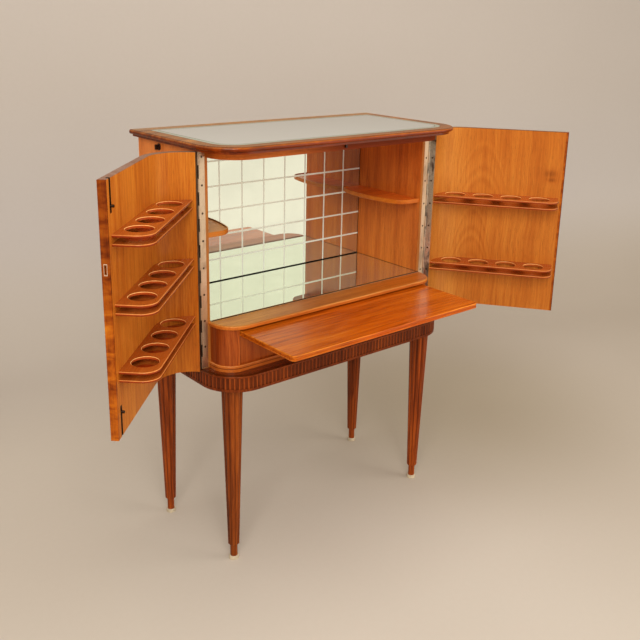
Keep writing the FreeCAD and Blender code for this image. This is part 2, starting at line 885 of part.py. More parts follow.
def rack(top, free_end, first_hole, pitch):
    """Upper plate with its holes and lower plate of one rack, on the left door."""
    upper_low = top - rack_upper_thickness
    upper = rack_blank(free_end, upper_low, top)
    fitting = (door_inner_half - rack_hole_radius - first_hole) / pitch
    for number in range(1 + math.floor(fitting)):
        x = -first_hole - number * pitch
        y = -door_inner_front + rack_hole_setback
        upper = upper.cut(rod(rack_hole_radius, vec(x, y, upper_low - overrun),
                              rack_upper_thickness + 2 * overrun, vec(0, 0, 1)))
    rims = [edge for edge in level_edges(upper, top, lambda middle: True)
            if hasattr(edge.Curve, "Radius") and abs(edge.Curve.Radius - rack_hole_radius) < overrun]
    upper = upper.makeFillet(rack_hole_rounding, rims)
    lower_top = upper_low - rack_gap
    return upper, rack_blank(free_end, lower_top - rack_lower_thickness, lower_top)


def rack_tops(**shares_of_door):
    """Heights of a door's racks: the named ones by share, and one just over the ledge."""
    tops = {name: door_bottom + share * door_height for name, share in shares_of_door.items()}
    tops["low"] = rack_low_top
    return tops


def flush_bolt(upper):
    """Channel, its rod with knob and the channel's recess, at one end of the left door."""
    way = 1 if upper else -1
    end = door_top if upper else door_bottom
    inner = -door_inner_front
    half = channel_width / 2

    def span(x0, x1, y0, y1, near, far):
        z0, z1 = sorted((end - way * near, end - way * far))
        return box(-flush_bolt_x + x0, -flush_bolt_x + x1, y0, y1, z0, z1)

    room = span(-half, half, inner - channel_depth, inner + overrun, -overrun, channel_length)
    body = span(-half, half, inner - channel_depth, inner, 0.0, channel_length)
    slot_half = rod_width / 2 + rod_play
    rod_back = inner - rod_setback - rod_depth
    slot = span(-slot_half, slot_half, rod_back - rod_play, inner + overrun, -overrun,
                channel_length - channel_slot_foot)
    start = flush_rod_start()
    bar = span(-rod_width / 2, rod_width / 2, rod_back, rod_back + rod_depth, start,
               start + rod_length)
    knob_z = end - way * (start + rod_length - rod_knob_rise)
    knob = rod(rod_knob_radius, vec(-flush_bolt_x, rod_back + rod_depth / 2, knob_z),
               rod_depth / 2 + rod_setback + rod_knob_stand, vec(0, 1))
    knob = knob.cut(span(-channel_width, -slot_half, inner - channel_depth, inner, 0.0, channel_length))
    knob = knob.cut(span(slot_half, channel_width, inner - channel_depth, inner, 0.0, channel_length))
    return body.cut(slot), bar.fuse(knob), room


def flush_rod_start():
    """Distance from the door's end to the rod's free end while it is drawn back."""
    return rod_play


def strike():
    """Strike plate in the left door's edge, with its recess and the pocket behind it."""
    z = lock_height
    half_z = bolt_height / 2 + 2 * bolt_play
    half_y = bolt_thickness / 2 + 2 * bolt_play
    plate = box(-half_meeting - strike_thickness, -half_meeting, -door_middle - strike_width / 2,
                -door_middle + strike_width / 2, z - strike_length / 2, z + strike_length / 2)
    pocket = box(-strike_pocket_depth, overrun, -door_middle - half_y, -door_middle + half_y,
                 z - half_z, z + half_z)
    return plate.cut(pocket), [plate, pocket]


def left_door_parts():
    parts = {"left_door_panel": door_blank(), "left_door_lipping": lipping()}
    plate, strike_rooms = strike()
    channels = []
    for name, upper in (("upper", True), ("lower", False)):
        channel, bar, room = flush_bolt(upper)
        channels.append(channel)
        parts["left_door_panel"] = parts["left_door_panel"].cut(room)
        parts[name + "_flush_bolt"] = bar
    for name in ("left_door_panel", "left_door_lipping"):
        parts[name] = parts[name].cut(strike_rooms)
    parts["flush_bolt_channels"] = grouped(channels)
    parts["strike_plate"] = plate
    face = door_leaf_face()
    parts["left_hinge_door_leaf"] = left_leaf(1, -door_end, face, screw_room(face, 1))
    parts["left_hinge_door_screws"] = screws(face, 1)
    for name, top in rack_tops(high=left_rack_high_share, middle=left_rack_middle_share).items():
        upper, lower = rack(top, left_rack_end, left_first_hole, left_hole_pitch)
        parts["left_rack_" + name + "_upper"] = upper
        parts["left_rack_" + name + "_lower"] = lower
    return parts


def lock_block(x0, x1, thickness, z0, z1):
    """Block of the lock, centred in the door's thickness, drawn on the left."""
    return box(-x1, -x0, -door_middle - thickness / 2, -door_middle + thickness / 2, z0, z1)


def lock_parts():
    """Mortise lock, its bolt, its key and the escutcheon, drawn on the left door."""
    z = lock_height
    case_top = z + lock_case_height / 2 - lock_case_drop
    case_bottom = case_top - lock_case_height
    plate_back = half_meeting + lock_plate_thickness
    case_back = plate_back + lock_case_length
    plate = lock_block(half_meeting, plate_back, lock_plate_width, z - lock_plate_length / 2,
                       z + lock_plate_length / 2)
    shell = lock_block(plate_back, case_back, lock_case_thickness, case_bottom, case_top)
    hollow = lock_block(plate_back + lock_wall, case_back - lock_wall,
                        lock_case_thickness - 2 * lock_wall, case_bottom + lock_wall,
                        case_top - lock_wall)
    bolt_front = half_meeting + bolt_setback
    slot = lock_block(0.0, plate_back + 2 * lock_wall, bolt_thickness + 2 * bolt_play,
                      z - bolt_height / 2 - bolt_play, z + bolt_height / 2 + bolt_play)
    bolt = lock_block(bolt_front, bolt_front + bolt_length, bolt_thickness, z - bolt_height / 2,
                      z + bolt_height / 2)
    key_z = z - key_drop
    key_x = -half_meeting - key_backset
    outward = vec(0, -1)
    way = rod(key_shaft_radius + key_hole_play, vec(key_x, -door_middle, key_z), door_thickness,
              outward)
    inner_end = vec(key_x, -door_middle + key_bit_width / 2, key_z)
    shaft_length = door_front + key_stand - door_middle + key_bit_width / 2
    shaft = rod(key_shaft_radius, inner_end, shaft_length, outward)
    bit = box(key_x - key_bit_height / 2, key_x + key_bit_height / 2,
              -door_middle - key_bit_width / 2, -door_middle + key_bit_width / 2,
              key_z - key_bit_reach, key_z)
    bow_y = -door_front - key_stand - key_bow_radius / 2
    bow_start = vec(key_x - key_bow_thickness / 2, bow_y, key_z)
    bow = rod(key_bow_radius, bow_start, key_bow_thickness, vec(1, 0))
    bow = bow.cut(rod(key_bow_hole_radius, bow_start, key_bow_thickness, vec(1, 0)))
    shaft_end = rod(key_shaft_radius, vec(key_x, bow_y, key_z), key_bow_radius, outward)
    key = shaft.fuse(bit).fuse(bow.cut(shaft_end))
    key = key.cut(rod(key_bow_hole_radius, bow_start - vec(overrun, 0),
                      key_bow_thickness + 2 * overrun, vec(1, 0)))
    escutcheon = rod(escutcheon_radius, vec(key_x, -door_front, key_z), escutcheon_thickness,
                     outward)
    escutcheon = escutcheon.cut(rod(key_shaft_radius + key_hole_play,
                                    vec(key_x, -door_front, key_z), escutcheon_thickness, outward))
    case = plate.fuse(shell).removeSplitter().cut([hollow, slot, way])
    room = plate.fuse(lock_block(plate_back, case_back + lock_fit,
                                 lock_case_thickness + 2 * lock_fit, case_bottom - lock_fit,
                                 case_top + lock_fit))
    pieces = {"lock_case": case, "lock_bolt": bolt, "lock_key": key, "key_escutcheon": escutcheon}
    return pieces, [room, way]


def right_door_parts():
    """Everything on the right door, drawn on the left and mirrored."""
    pieces, rooms = lock_parts()
    face = door_leaf_face()
    pieces["right_door_panel"] = door_blank().cut(rooms)
    pieces["right_door_lipping"] = lipping().cut(rooms)
    pieces["right_hinge_door_leaf"] = left_leaf(1, -door_end, face, screw_room(face, 1))
    pieces["right_hinge_door_screws"] = screws(face, 1)
    for name, top in rack_tops(high=right_rack_high_share).items():
        upper, lower = rack(top, right_rack_end, right_first_hole, right_hole_pitch)
        pieces["right_rack_" + name + "_upper"] = upper
        pieces["right_rack_" + name + "_lower"] = lower
    return {name: mirrored(piece) for name, piece in pieces.items()}


# Side switch

def switch_parts():
    centre = vec(-half_carcass, -switch_y, height - switch_drop)
    out = vec(-1, 0)
    rosette = rod(rosette_radius, centre, rosette_thickness, out)
    rim = [edge for edge in rosette.Edges
           if abs(edge.CenterOfMass.x - (centre.x - rosette_thickness)) < rosette_rounding / 2]
    rosette = rosette.makeFillet(rosette_rounding, rim)
    rosette = rosette.cut(rod(switch_stem_radius + switch_stem_play, centre, rosette_thickness, out))
    collar_base = centre + out * (rosette_thickness + switch_stem_play)
    stem = rod(switch_stem_radius, centre + out * switch_stem_play, rosette_thickness, out)
    collar = rod(switch_collar_radius, collar_base, switch_collar_thickness, out)
    grip = box(-switch_grip_height, switch_collar_thickness / 2, -switch_grip_thickness / 2,
               switch_grip_thickness / 2, -switch_grip_length / 2, switch_grip_length / 2)
    grip = grip.makeFillet(switch_grip_rounding, grip.Edges)
    grip.translate(collar_base + out * switch_collar_thickness)
    return {"switch_rosette": rosette, "switch_knob": stem.fuse([collar, grip])}


def all_parts():
    parts = {}
    for group in (top_parts(), base_parts(), carcass_parts(), lower_parts(), board_parts(),
                  carcass_hinge_parts(), switch_parts()):
        parts.update(group)
    both_sides(left_shelf(), "shelf", parts)
    for side, group in ((-1, left_door_parts()), (1, right_door_parts())):
        for name, piece in group.items():
            parts[name] = opened(piece, side)
    return parts


def footprint_middle(parts):
    """Middle of the box round the whole open cabinet, seen from above."""
    around = FreeCAD.BoundBox()
    for piece in parts.values():
        around.add(piece.optimalBoundingBox(False, False))
    return vec((around.XMin + around.XMax) / 2, (around.YMin + around.YMax) / 2)


def main():
    os.makedirs("parts", exist_ok=True)
    parts = all_parts()
    middle = footprint_middle(parts)
    print("cabinet middle and rear edge stand at", -middle.x, -middle.y)
    for name, piece in parts.items():
        placed = piece.copy()
        placed.translate(-middle)
        placed.exportStep("parts/" + name + ".step")
        print(name, len(placed.Solids), round(placed.Volume), placed.isValid())


main()
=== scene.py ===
import bpy
import json
import math
from mathutils import Matrix, Vector


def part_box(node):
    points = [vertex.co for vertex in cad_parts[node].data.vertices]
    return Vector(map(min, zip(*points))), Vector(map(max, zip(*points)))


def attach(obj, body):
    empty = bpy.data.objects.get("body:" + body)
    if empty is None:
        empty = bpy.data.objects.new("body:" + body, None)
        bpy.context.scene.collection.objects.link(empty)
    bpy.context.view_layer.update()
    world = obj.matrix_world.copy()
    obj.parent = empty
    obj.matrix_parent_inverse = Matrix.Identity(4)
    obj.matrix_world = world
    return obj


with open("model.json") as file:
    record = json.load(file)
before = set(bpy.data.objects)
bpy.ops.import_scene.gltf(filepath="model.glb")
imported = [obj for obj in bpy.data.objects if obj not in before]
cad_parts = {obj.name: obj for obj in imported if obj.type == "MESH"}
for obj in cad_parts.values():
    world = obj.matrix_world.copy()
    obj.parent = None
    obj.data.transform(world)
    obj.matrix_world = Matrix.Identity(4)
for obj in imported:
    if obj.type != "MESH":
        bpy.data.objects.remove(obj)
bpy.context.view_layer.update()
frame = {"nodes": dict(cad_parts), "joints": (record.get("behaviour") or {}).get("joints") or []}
nodes = frame["nodes"]

# Places that everything else is set by, in metres
low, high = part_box("top_frame")
ORIGIN = Vector(((low.x + high.x) / 2, high.y, 0.0))
low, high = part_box("fluted_apron")
APRON_HALF, APRON_FRONT = (high.x - low.x) / 2, ORIGIN.y - low.y


def leg_axis(name):
    low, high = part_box(name)
    return (abs((low.x + high.x) / 2 - ORIGIN.x), (low.y + high.y) / 2 - ORIGIN.y)


FRONT_LEG = leg_axis("leg_front_left")
REAR_LEG = leg_axis("leg_rear_left")
joints = {joint["name"]: joint for joint in frame["joints"]}
LEFT_PIN = Vector(joints["left_door_hinge"]["pos_m"])
RIGHT_PIN = Vector(joints["right_door_hinge"]["pos_m"])
LEFT_OPEN = math.radians(max(joints["left_door_hinge"]["range_deg"]))
RIGHT_OPEN = math.radians(min(joints["right_door_hinge"]["range_deg"]))

# Measures that the finishes follow, in metres, with the doors closed: x from the cabinet's
# middle, y from its rear edge and z from the floor
APRON_RADIUS = 0.112
FLUTE_DEPTH = (0.0004, 0.0019)      # from a ridge to the bottom of a flute
LEG_PARTING = (-0.19, -0.2)         # y between the rear legs and the front ones
REED_ENDS = (0.052, 0.599)          # lower and upper end of a leg's reeds
REED_RADII = (0.0172, 0.0328)       # a leg's radius at those ends
REED_FOOT = (0.0515, 0.0525)
HOLE_Y = -0.387                     # middle of the glass holes
HOLE_RIM = (0.0355, 0.0345)         # radii between which the painted highlight on a hole's wall and the painted shade seen through it begin
GRID_FIRST = (-0.1807, 1.2174)      # x and z of one crossing of the mirror's etched lines
GRID_PITCH = (0.0858, 0.0787)
GRID_WIDTH = 0.0055
PLATE_RADIUS = 0.0697               # round corners of the top's plate
STRIKE_MIDDLE = (-0.4405, 1.02796)  # y and z
STRIKE_RIM = ((0.0028, 0.0034), (0.0114, 0.0122))


def linear(red, green, blue):
    """Screen colour, 0 to 255, as the linear colour that a shader takes."""
    out = []
    for value in (red, green, blue):
        v = value / 255
        out.append(v / 12.92 if v <= 0.04045 else ((v + 0.055) / 1.055) ** 2.4)
    return (*out, 1.0)


# Short hand for shader nodes

class Graph:
    def __init__(self, name):
        self.mat = bpy.data.materials.new(name)
        self.mat.use_nodes = True
        self.tree = self.mat.node_tree
        self.tree.nodes.clear()
        self.end = self.tree.nodes.new("ShaderNodeOutputMaterial")
        self.shader = self.tree.nodes.new("ShaderNodeBsdfPrincipled")
        self.tree.links.new(self.shader.outputs[0], self.end.inputs[0])
        self.object = self.tree.nodes.new("ShaderNodeTexCoord").outputs["Object"]

    def feed(self, socket, value):
        if isinstance(value, bpy.types.NodeSocket):
            self.tree.links.new(value, socket)
        else:
            socket.default_value = value

    def calc(self, operation, a, b=0.0, c=0.0, clamp=False):
        node = self.tree.nodes.new("ShaderNodeMath")
        node.operation = operation
        node.use_clamp = clamp
        for socket, value in zip(node.inputs, (a, b, c)):
            self.feed(socket, value)
        return node.outputs[0]

    def mixed(self, share, a, b, mode="MIX"):
        node = self.tree.nodes.new("ShaderNodeMix")
        node.data_type = "RGBA"
        node.blend_type = mode
        self.feed(node.inputs[0], share)
        self.feed(node.inputs[6], a)
        self.feed(node.inputs[7], b)
        return node.outputs[2]

    def tinted(self, share, colour, tint):
        """Colour, multiplied by a tint where the share is one."""
        return self.mixed(share, colour, self.mixed(1.0, colour, (*tint, 1.0), "MULTIPLY"))

    def stirred(self, noise, amount, value):
        """Value moved up and down by a noise whose middle is 0.5."""
        return self.calc("MULTIPLY_ADD", self.calc("SUBTRACT", noise, 0.5), amount, value)

    def far(self, dx, dy):
        """Distance from its two parts."""
        return self.calc("SQRT", self.calc("ADD", self.calc("MULTIPLY", dx, dx),
                                           self.calc("MULTIPLY", dy, dy)))

    def ramp(self, value, stops):
        node = self.tree.nodes.new("ShaderNodeValToRGB")
        node.color_ramp.interpolation = "LINEAR"
        items = node.color_ramp.elements
        while len(items) < len(stops):
            items.new(0.5)
        for item, (place, colour) in zip(items, stops):
            item.position = place
            item.color = colour
        self.feed(node.inputs[0], value)
        return node.outputs[0]

    def span(self, value, a, b, c=0.0, d=1.0, smooth=True):
        """Value from a to b remapped to c to d, clamped."""
        node = self.tree.nodes.new("ShaderNodeMapRange")
        node.interpolation_type = "SMOOTHSTEP" if smooth else "LINEAR"
        node.clamp = True
        for socket, item in zip(node.inputs, (value, a, b, c, d)):
            self.feed(socket, item)
        return node.outputs[0]

    def mapped(self, vector, scale=(1, 1, 1), turn=(0, 0, 0), move=(0, 0, 0)):
        node = self.tree.nodes.new("ShaderNodeMapping")
        self.feed(node.inputs["Vector"], vector)
        node.inputs["Location"].default_value = move
        node.inputs["Rotation"].default_value = turn
        node.inputs["Scale"].default_value = scale
        return node.outputs[0]

    def noise(self, vector, scale, detail=2.0, rough=0.5, bend=0.0):
        node = self.tree.nodes.new("ShaderNodeTexNoise")
        self.feed(node.inputs["Vector"], vector)
        node.inputs["Scale"].default_value = scale
        node.inputs["Detail"].default_value = detail
        node.inputs["Roughness"].default_value = rough
        node.inputs["Distortion"].default_value = bend
        return node.outputs[0]

    def split(self, vector):
        node = self.tree.nodes.new("ShaderNodeSeparateXYZ")
        self.feed(node.inputs[0], vector)
        return node.outputs

    def joined(self, x, y, z):
        node = self.tree.nodes.new("ShaderNodeCombineXYZ")
        for socket, value in zip(node.inputs, (x, y, z)):
            self.feed(socket, value)
        return node.outputs[0]

    def bump(self, height, distance, strength=1.0, under=None):
        node = self.tree.nodes.new("ShaderNodeBump")
        node.inputs["Strength"].default_value = strength
        node.inputs["Distance"].default_value = distance
        self.feed(node.inputs["Height"], height)
        if under is not None:
            self.feed(node.inputs["Normal"], under)
        return node.outputs[0]

    def finish(self, **values):
        for name, value in values.items():
            self.feed(self.shader.inputs[name.replace("_", " ")], value)
        return self.mat

    def place(self, space):
        """Coordinates from the cabinet's middle and rear edge, with the doors closed."""
        if space == "cabinet":
            return self.mapped(self.object, move=tuple(-ORIGIN))
        pin, turn = (LEFT_PIN, LEFT_OPEN) if space == "left_door" else (RIGHT_PIN, RIGHT_OPEN)
        shift = pin - Matrix.Rotation(turn, 3, "Z") @ pin
        shift = Vector((shift.x, shift.y, 0.0)) - ORIGIN
        return self.mapped(self.object, turn=(0, 0, turn), move=tuple(shift))


NO_REAR = -1.0      # a rear edge so far back that it has no part in the plan


def inside_plan(g, xyz, half, front, rear, radius):
    """How far a point lies inside a plan with two rounded front corners, in metres."""
    dx = g.calc("SUBTRACT", g.calc("ABSOLUTE", xyz[0]), half - radius)
    dy = g.calc("SUBTRACT", g.calc("MULTIPLY", xyz[1], -1.0), front - radius)
    px = g.calc("MAXIMUM", dx, 0.0)
    py = g.calc("MAXIMUM", dy, 0.0)
    out = g.far(px, py)
    inner = g.calc("MINIMUM", g.calc("MAXIMUM", dx, dy), 0.0)
    near = g.calc("SUBTRACT", radius, g.calc("ADD", out, inner))
    behind = g.calc("SUBTRACT", g.calc("MULTIPLY", xyz[1], -1.0), rear)
    return g.calc("MINIMUM", near, behind)


def apron_flutes(g, xyz):
    """One at the bottom of the apron's flutes, nought on the narrow ridges."""
    inside = inside_plan(g, xyz, APRON_HALF, APRON_FRONT, NO_REAR, APRON_RADIUS)
    return g.span(inside, *FLUTE_DEPTH)


def leg_valleys(g, xyz):
    """One in the valleys between a leg's reeds, nought on their crests."""
    x = g.calc("ABSOLUTE", xyz[0])
    fore = g.span(xyz[1], *LEG_PARTING)
    cx = g.calc("MULTIPLY_ADD", fore, FRONT_LEG[0] - REAR_LEG[0], REAR_LEG[0])
    cy = g.calc("MULTIPLY_ADD", fore, FRONT_LEG[1] - REAR_LEG[1], REAR_LEG[1])
    away = g.far(g.calc("SUBTRACT", x, cx), g.calc("SUBTRACT", xyz[1], cy))
    crest = g.span(xyz[2], *REED_ENDS, *REED_RADII, smooth=False)
    valley = g.span(g.calc("DIVIDE", away, crest), 0.975, 0.915)
    return g.calc("MULTIPLY", valley, g.span(xyz[2], *REED_FOOT))


def zone_span(g, xyz, facing, kind, start, stop):
    """Value that a zone of a tint goes by, and the values at which it begins and is full."""
    if kind == "line":
        # a line round the piece at a height, given with its half width
        return g.calc("ABSOLUTE", g.calc("SUBTRACT", xyz[2], start)), stop, stop * 0.5
    if kind == "tilt":
        # faces that lean by about so much, given with the half width of the band
        return g.calc("ABSOLUTE", g.calc("SUBTRACT", facing[2], start)), stop, stop * 0.5
    if kind == "wide":
        return g.calc("ABSOLUTE", xyz[0]), start, stop
    if kind == "up":
        return facing[2], start, stop
    if kind == "east":
        return facing[0], start, stop
    if kind == "holes":
        # holes for the glasses, given with the first one's place and the pitch
        aside = g.calc("ABSOLUTE", xyz[0])
        part = g.calc("DIVIDE", g.calc("SUBTRACT", aside, start - 20.5 * stop), stop)
        off = g.calc("MULTIPLY", g.calc("SUBTRACT", g.calc("FRACT", part), 0.5), stop)
        away = g.far(off, g.calc("SUBTRACT", xyz[1], HOLE_Y))
        before = g.span(aside, start - stop * 0.45, start - stop * 0.5)
        return g.calc("MAXIMUM", away, before), *HOLE_RIM
    return xyz["xyz".index(kind)], start, stop


PAINTED_EDGE_HIGHLIGHT = (1.65, 3.3, 7.0)      # tint of the painted highlight along rounded upper edges


def wood(name, space, along, tones, ribbon=0.45, stripe=0.3, drift=0.25, mottle=0.0, gloss=0.36,
         coat=0.08, seed=0.0, arches=(), knots=(), ribbon_scale=38.0, edge=0.5, zones=(),
         groove=None, groove_shade_tint=(0.4, 0.33, 0.3), sway_size=0.05):
    """Polished mahogany: ribbons and stripes along the grain, pores, drift and figure.

    A zone is a kind, where it begins, where it is full and its tint. "flat" after it keeps it
    to level faces, and "rim" to all others.
    """
    g = Graph(name)
    xyz = g.split(g.place(space))
    order = {"x": (1, 2, 0), "y": (0, 2, 1), "z": (0, 1, 2)}[along]
    across, depth, length = (xyz[i] for i in order)
    sway = g.noise(g.joined(g.calc("MULTIPLY", across, 2.2), g.calc("MULTIPLY", depth, 2.2),
                            g.calc("MULTIPLY_ADD", length, 2.6, seed)), 1.0, 2.0, 0.5)
    sway = g.calc("MULTIPLY", g.calc("SUBTRACT", sway, 0.5), sway_size)
    a = g.calc("ADD", across, sway)
    base = g.joined(a, depth, g.calc("MULTIPLY_ADD", length, 0.035, seed))
    wide = g.noise(base, ribbon_scale, 3.0, 0.55)
    fine = g.noise(g.mapped(base, move=(seed * 3, 1.7, 0.4)), 210.0, 2.0, 0.6)
    hair = g.noise(g.joined(a, depth, g.calc("MULTIPLY_ADD", length, 0.02, seed + 5.0)),
                   620.0, 2.0, 0.7)
    loose = g.noise(g.joined(across, depth, g.calc("MULTIPLY_ADD", length, 0.4, seed)),
                    4.5, 3.0, 0.55)
    value = g.calc("MULTIPLY", g.calc("SUBTRACT", wide, 0.5), ribbon * 2.6)
    value = g.stirred(fine, stripe * 1.6, value)
    value = g.stirred(hair, stripe * 1.2, value)
    value = g.stirred(loose, drift * 2.4, value)
    if mottle:
        cross = g.noise(g.joined(g.calc("MULTIPLY", across, 14.0), g.calc("MULTIPLY", depth, 14.0),
                                 g.calc("MULTIPLY_ADD", length, 34.0, seed)), 1.0, 3.0, 0.6, 0.6)
        value = g.stirred(cross, mottle * 2.4, value)
    for middle, apex, width, step, strength in arches:
        # nested rounded arches of a cathedral figure, fading out to the sides and at the foot
        side = g.calc("SUBTRACT", across, middle)
        bent = g.calc("MULTIPLY", g.calc("MULTIPLY", side, side), 1 / (width * width) * 0.16)
        rise = g.calc("SUBTRACT", apex, length)
        level = g.calc("SUBTRACT", rise, bent)
        level = g.stirred(g.noise(base, 9.0, 2.0), 0.03, level)
        wave = g.calc("SINE", g.calc("MULTIPLY", level, 2 * math.pi / step))
        slow = g.calc("SINE", g.calc("MULTIPLY", level, 9.1 / step))
        wave = g.calc("MULTIPLY_ADD", slow, 0.5, wave)
        fade = g.span(g.calc("ABSOLUTE", side), width * 1.5, width * 0.7)
        fade = g.calc("MULTIPLY", fade, g.span(level, -0.015, 0.02))
        fade = g.calc("MULTIPLY", fade, g.span(rise, 0.34, 0.14))
        value = g.calc("MULTIPLY_ADD", g.calc("MULTIPLY", wave, fade), strength, value)
    for place, height, size in knots:
        # a dark spot, wider across the grain than along it
        away = g.calc("POWER", g.calc("SUBTRACT", across, place), 2.0)
        away = g.calc("MULTIPLY", away, 0.3)
        away = g.calc("ADD", g.calc("POWER", g.calc("SUBTRACT", length, height), 2.0), away)
        away = g.calc("SQRT", away)
        near = g.span(away, size * 2.2, size * 0.2)
        value = g.calc("MULTIPLY_ADD", g.span(away, size, 0.0), -0.24, value)
        value = g.calc("MULTIPLY_ADD", near, -0.10, value)
    value = g.calc("ADD", value, 0.5)
    colour = g.ramp(value, [(0.0, tones[0]), (0.36, tones[1]), (0.64, tones[2]), (1.0, tones[3])])
    streak = g.noise(g.joined(g.calc("MULTIPLY", a, 1500.0), g.calc("MULTIPLY", depth, 1500.0),
                              g.calc("MULTIPLY_ADD", length, 42.0, seed)), 1.0, 1.0, 0.5)
    pore = g.span(streak, 0.60, 0.72)
    shade = g.calc("SUBTRACT", 1.0, g.calc("MULTIPLY", pore, 0.35))
    colour = g.mixed(1.0, colour, g.joined(shade, shade, shade), "MULTIPLY")
    facing = g.split(g.tree.nodes.new("ShaderNodeNewGeometry").outputs["Normal"])
    for kind, start, stop, tint, *where in zones:
        share = g.span(*zone_span(g, xyz, facing, kind, start, stop))
        if where:
            flat = g.span(facing[2], 0.93, 0.97)
            kept = flat if where[0] == "flat" else g.calc("SUBTRACT", 1.0, flat)
            share = g.calc("MULTIPLY", share, kept)
        colour = g.tinted(share, colour, tint)
    # painted shade in the apron's flutes and between the legs' reeds
    if groove:
        colour = g.tinted(groove(g, xyz), colour, groove_shade_tint)
    if edge:
        # painted highlight along rounded upper edges that lean up at a slant, broken up by a loose
        # noise
        painted_highlight = g.calc("MULTIPLY", g.span(facing[2], 0.15, 0.5), g.span(facing[2], 0.985, 0.86))
        painted_highlight = g.calc("MULTIPLY", painted_highlight, g.span(loose, 0.25, 0.65, 0.55, 1.0))
        colour = g.tinted(g.calc("MULTIPLY", painted_highlight, edge, clamp=True), colour, PAINTED_EDGE_HIGHLIGHT)
    rough = g.stirred(loose, 0.12, gloss)
    rough = g.calc("MULTIPLY_ADD", pore, 0.12, rough)
    normal = g.bump(g.calc("SUBTRACT", 1.0, pore), 0.00012, 0.5)
    normal = g.bump(g.calc("ADD", wide, g.calc("MULTIPLY", loose, 2.0)), 0.0006, 0.25, normal)
    return g.finish(Base_Color=colour, Roughness=rough, Normal=normal, Coat_Weight=coat,
                    Coat_Roughness=0.2, Specular_IOR_Level=0.25,
                    Specular_Tint=(1.0, 0.8, 0.6, 1.0))


def metal(name, colour, stain, rough, amount=0.5, scale=60.0):
    """Worn plated metal with brushed streaks, brown stains and dark spots."""
    g = Graph(name)
    where = g.place("cabinet")
    brush = g.noise(g.mapped(where, scale=(1, 1, 0.06)), 900.0, 2.0, 0.6)
    cloud = g.noise(g.mapped(where, scale=(1, 1, 0.35)), scale, 4.0, 0.65, 0.4)
    spots = g.span(g.noise(where, 420.0, 2.0, 0.6), 0.62, 0.72)
    worn = g.calc("MULTIPLY", g.span(cloud, 0.48, 0.68), amount)
    worn = g.calc("MAXIMUM", worn, g.calc("MULTIPLY", spots, amount))
    tone = g.mixed(worn, linear(*colour), linear(*stain))
    tone = g.mixed(g.calc("MULTIPLY", brush, 0.25), tone, linear(*[c * 0.7 for c in colour]))
    gloss = g.calc("MULTIPLY_ADD", worn, 0.25, rough)
    gloss = g.stirred(brush, 0.15, gloss)
    return g.finish(Base_Color=tone, Roughness=gloss, Metallic=1.0,
                    Normal=g.bump(brush, 0.00005, 0.4))


def moulded(name, colour, rough, shine=0.5):
    """Plain moulded or turned piece with a fine uneven surface."""
    g = Graph(name)
    where = g.place("cabinet")
    cloud = g.noise(where, 45.0, 3.0, 0.6)
    grain = g.noise(where, 700.0, 2.0, 0.6)
    dark = linear(*[c * (1 - 0.15) for c in colour])
    tone = g.mixed(g.span(cloud, 0.35, 0.68), linear(*colour), dark)
    gloss = g.stirred(cloud, 0.2, rough)
    return g.finish(Base_Color=tone, Roughness=gloss, Normal=g.bump(grain, 0.0001, 0.3),
                    Specular_IOR_Level=shine)


def mirror(name, tint, etched):
    """Silvered plate with a faint haze, and an etched grid if asked for."""
    g = Graph(name)
    where = g.place("cabinet")
    xyz = g.split(where)
    haze = g.noise(where, 7.0, 4.0, 0.6)
    dust = g.span(g.noise(where, 300.0, 3.0, 0.7), 0.6, 0.85)
    rough = g.calc("MULTIPLY_ADD", dust, 0.03, 0.006)
    silver = g.mixed(g.span(haze, 0.3, 0.7), linear(*tint), linear(*[c * 0.97 for c in tint]))
    if not etched:
        return g.finish(Base_Color=silver, Roughness=rough, Metallic=0.96)
    lines = None
    for value, first, pitch in ((xyz[0], GRID_FIRST[0], GRID_PITCH[0]),
                                (xyz[2], GRID_FIRST[1], GRID_PITCH[1])):
        part = g.calc("DIVIDE", g.calc("SUBTRACT", value, first - 20.5 * pitch), pitch)
        off = g.calc("ABSOLUTE", g.calc("SUBTRACT", g.calc("FRACT", part), 0.5))
        line = g.span(g.calc("MULTIPLY", off, pitch), GRID_WIDTH * 0.56, GRID_WIDTH * 0.44)
        lines = line if lines is None else g.calc("MAXIMUM", lines, line)
    frost = g.noise(where, 900.0, 2.0, 0.7)
    pale = g.mixed(frost, linear(230, 236, 222), linear(244, 248, 234))
    grey = g.calc("MULTIPLY_ADD", lines, 0.45, rough)
    # the silver is duller below at the left, and the lines are paler at the right
    worn = g.calc("MULTIPLY", g.span(xyz[2], 0.93, 0.895), g.span(xyz[0], 0.22, 0.1))
    etching = g.calc("MULTIPLY_ADD", g.span(xyz[0], 0.155, 0.16), -0.4, -0.48)
    return g.finish(Base_Color=g.mixed(lines, silver, pale), Roughness=grey,
                    Metallic=g.calc("MULTIPLY_ADD", lines, etching,
                                    g.calc("MULTIPLY_ADD", worn, -0.12, 0.95)),
                    Normal=g.bump(g.calc("MULTIPLY", lines, frost), 0.0001, 0.3))


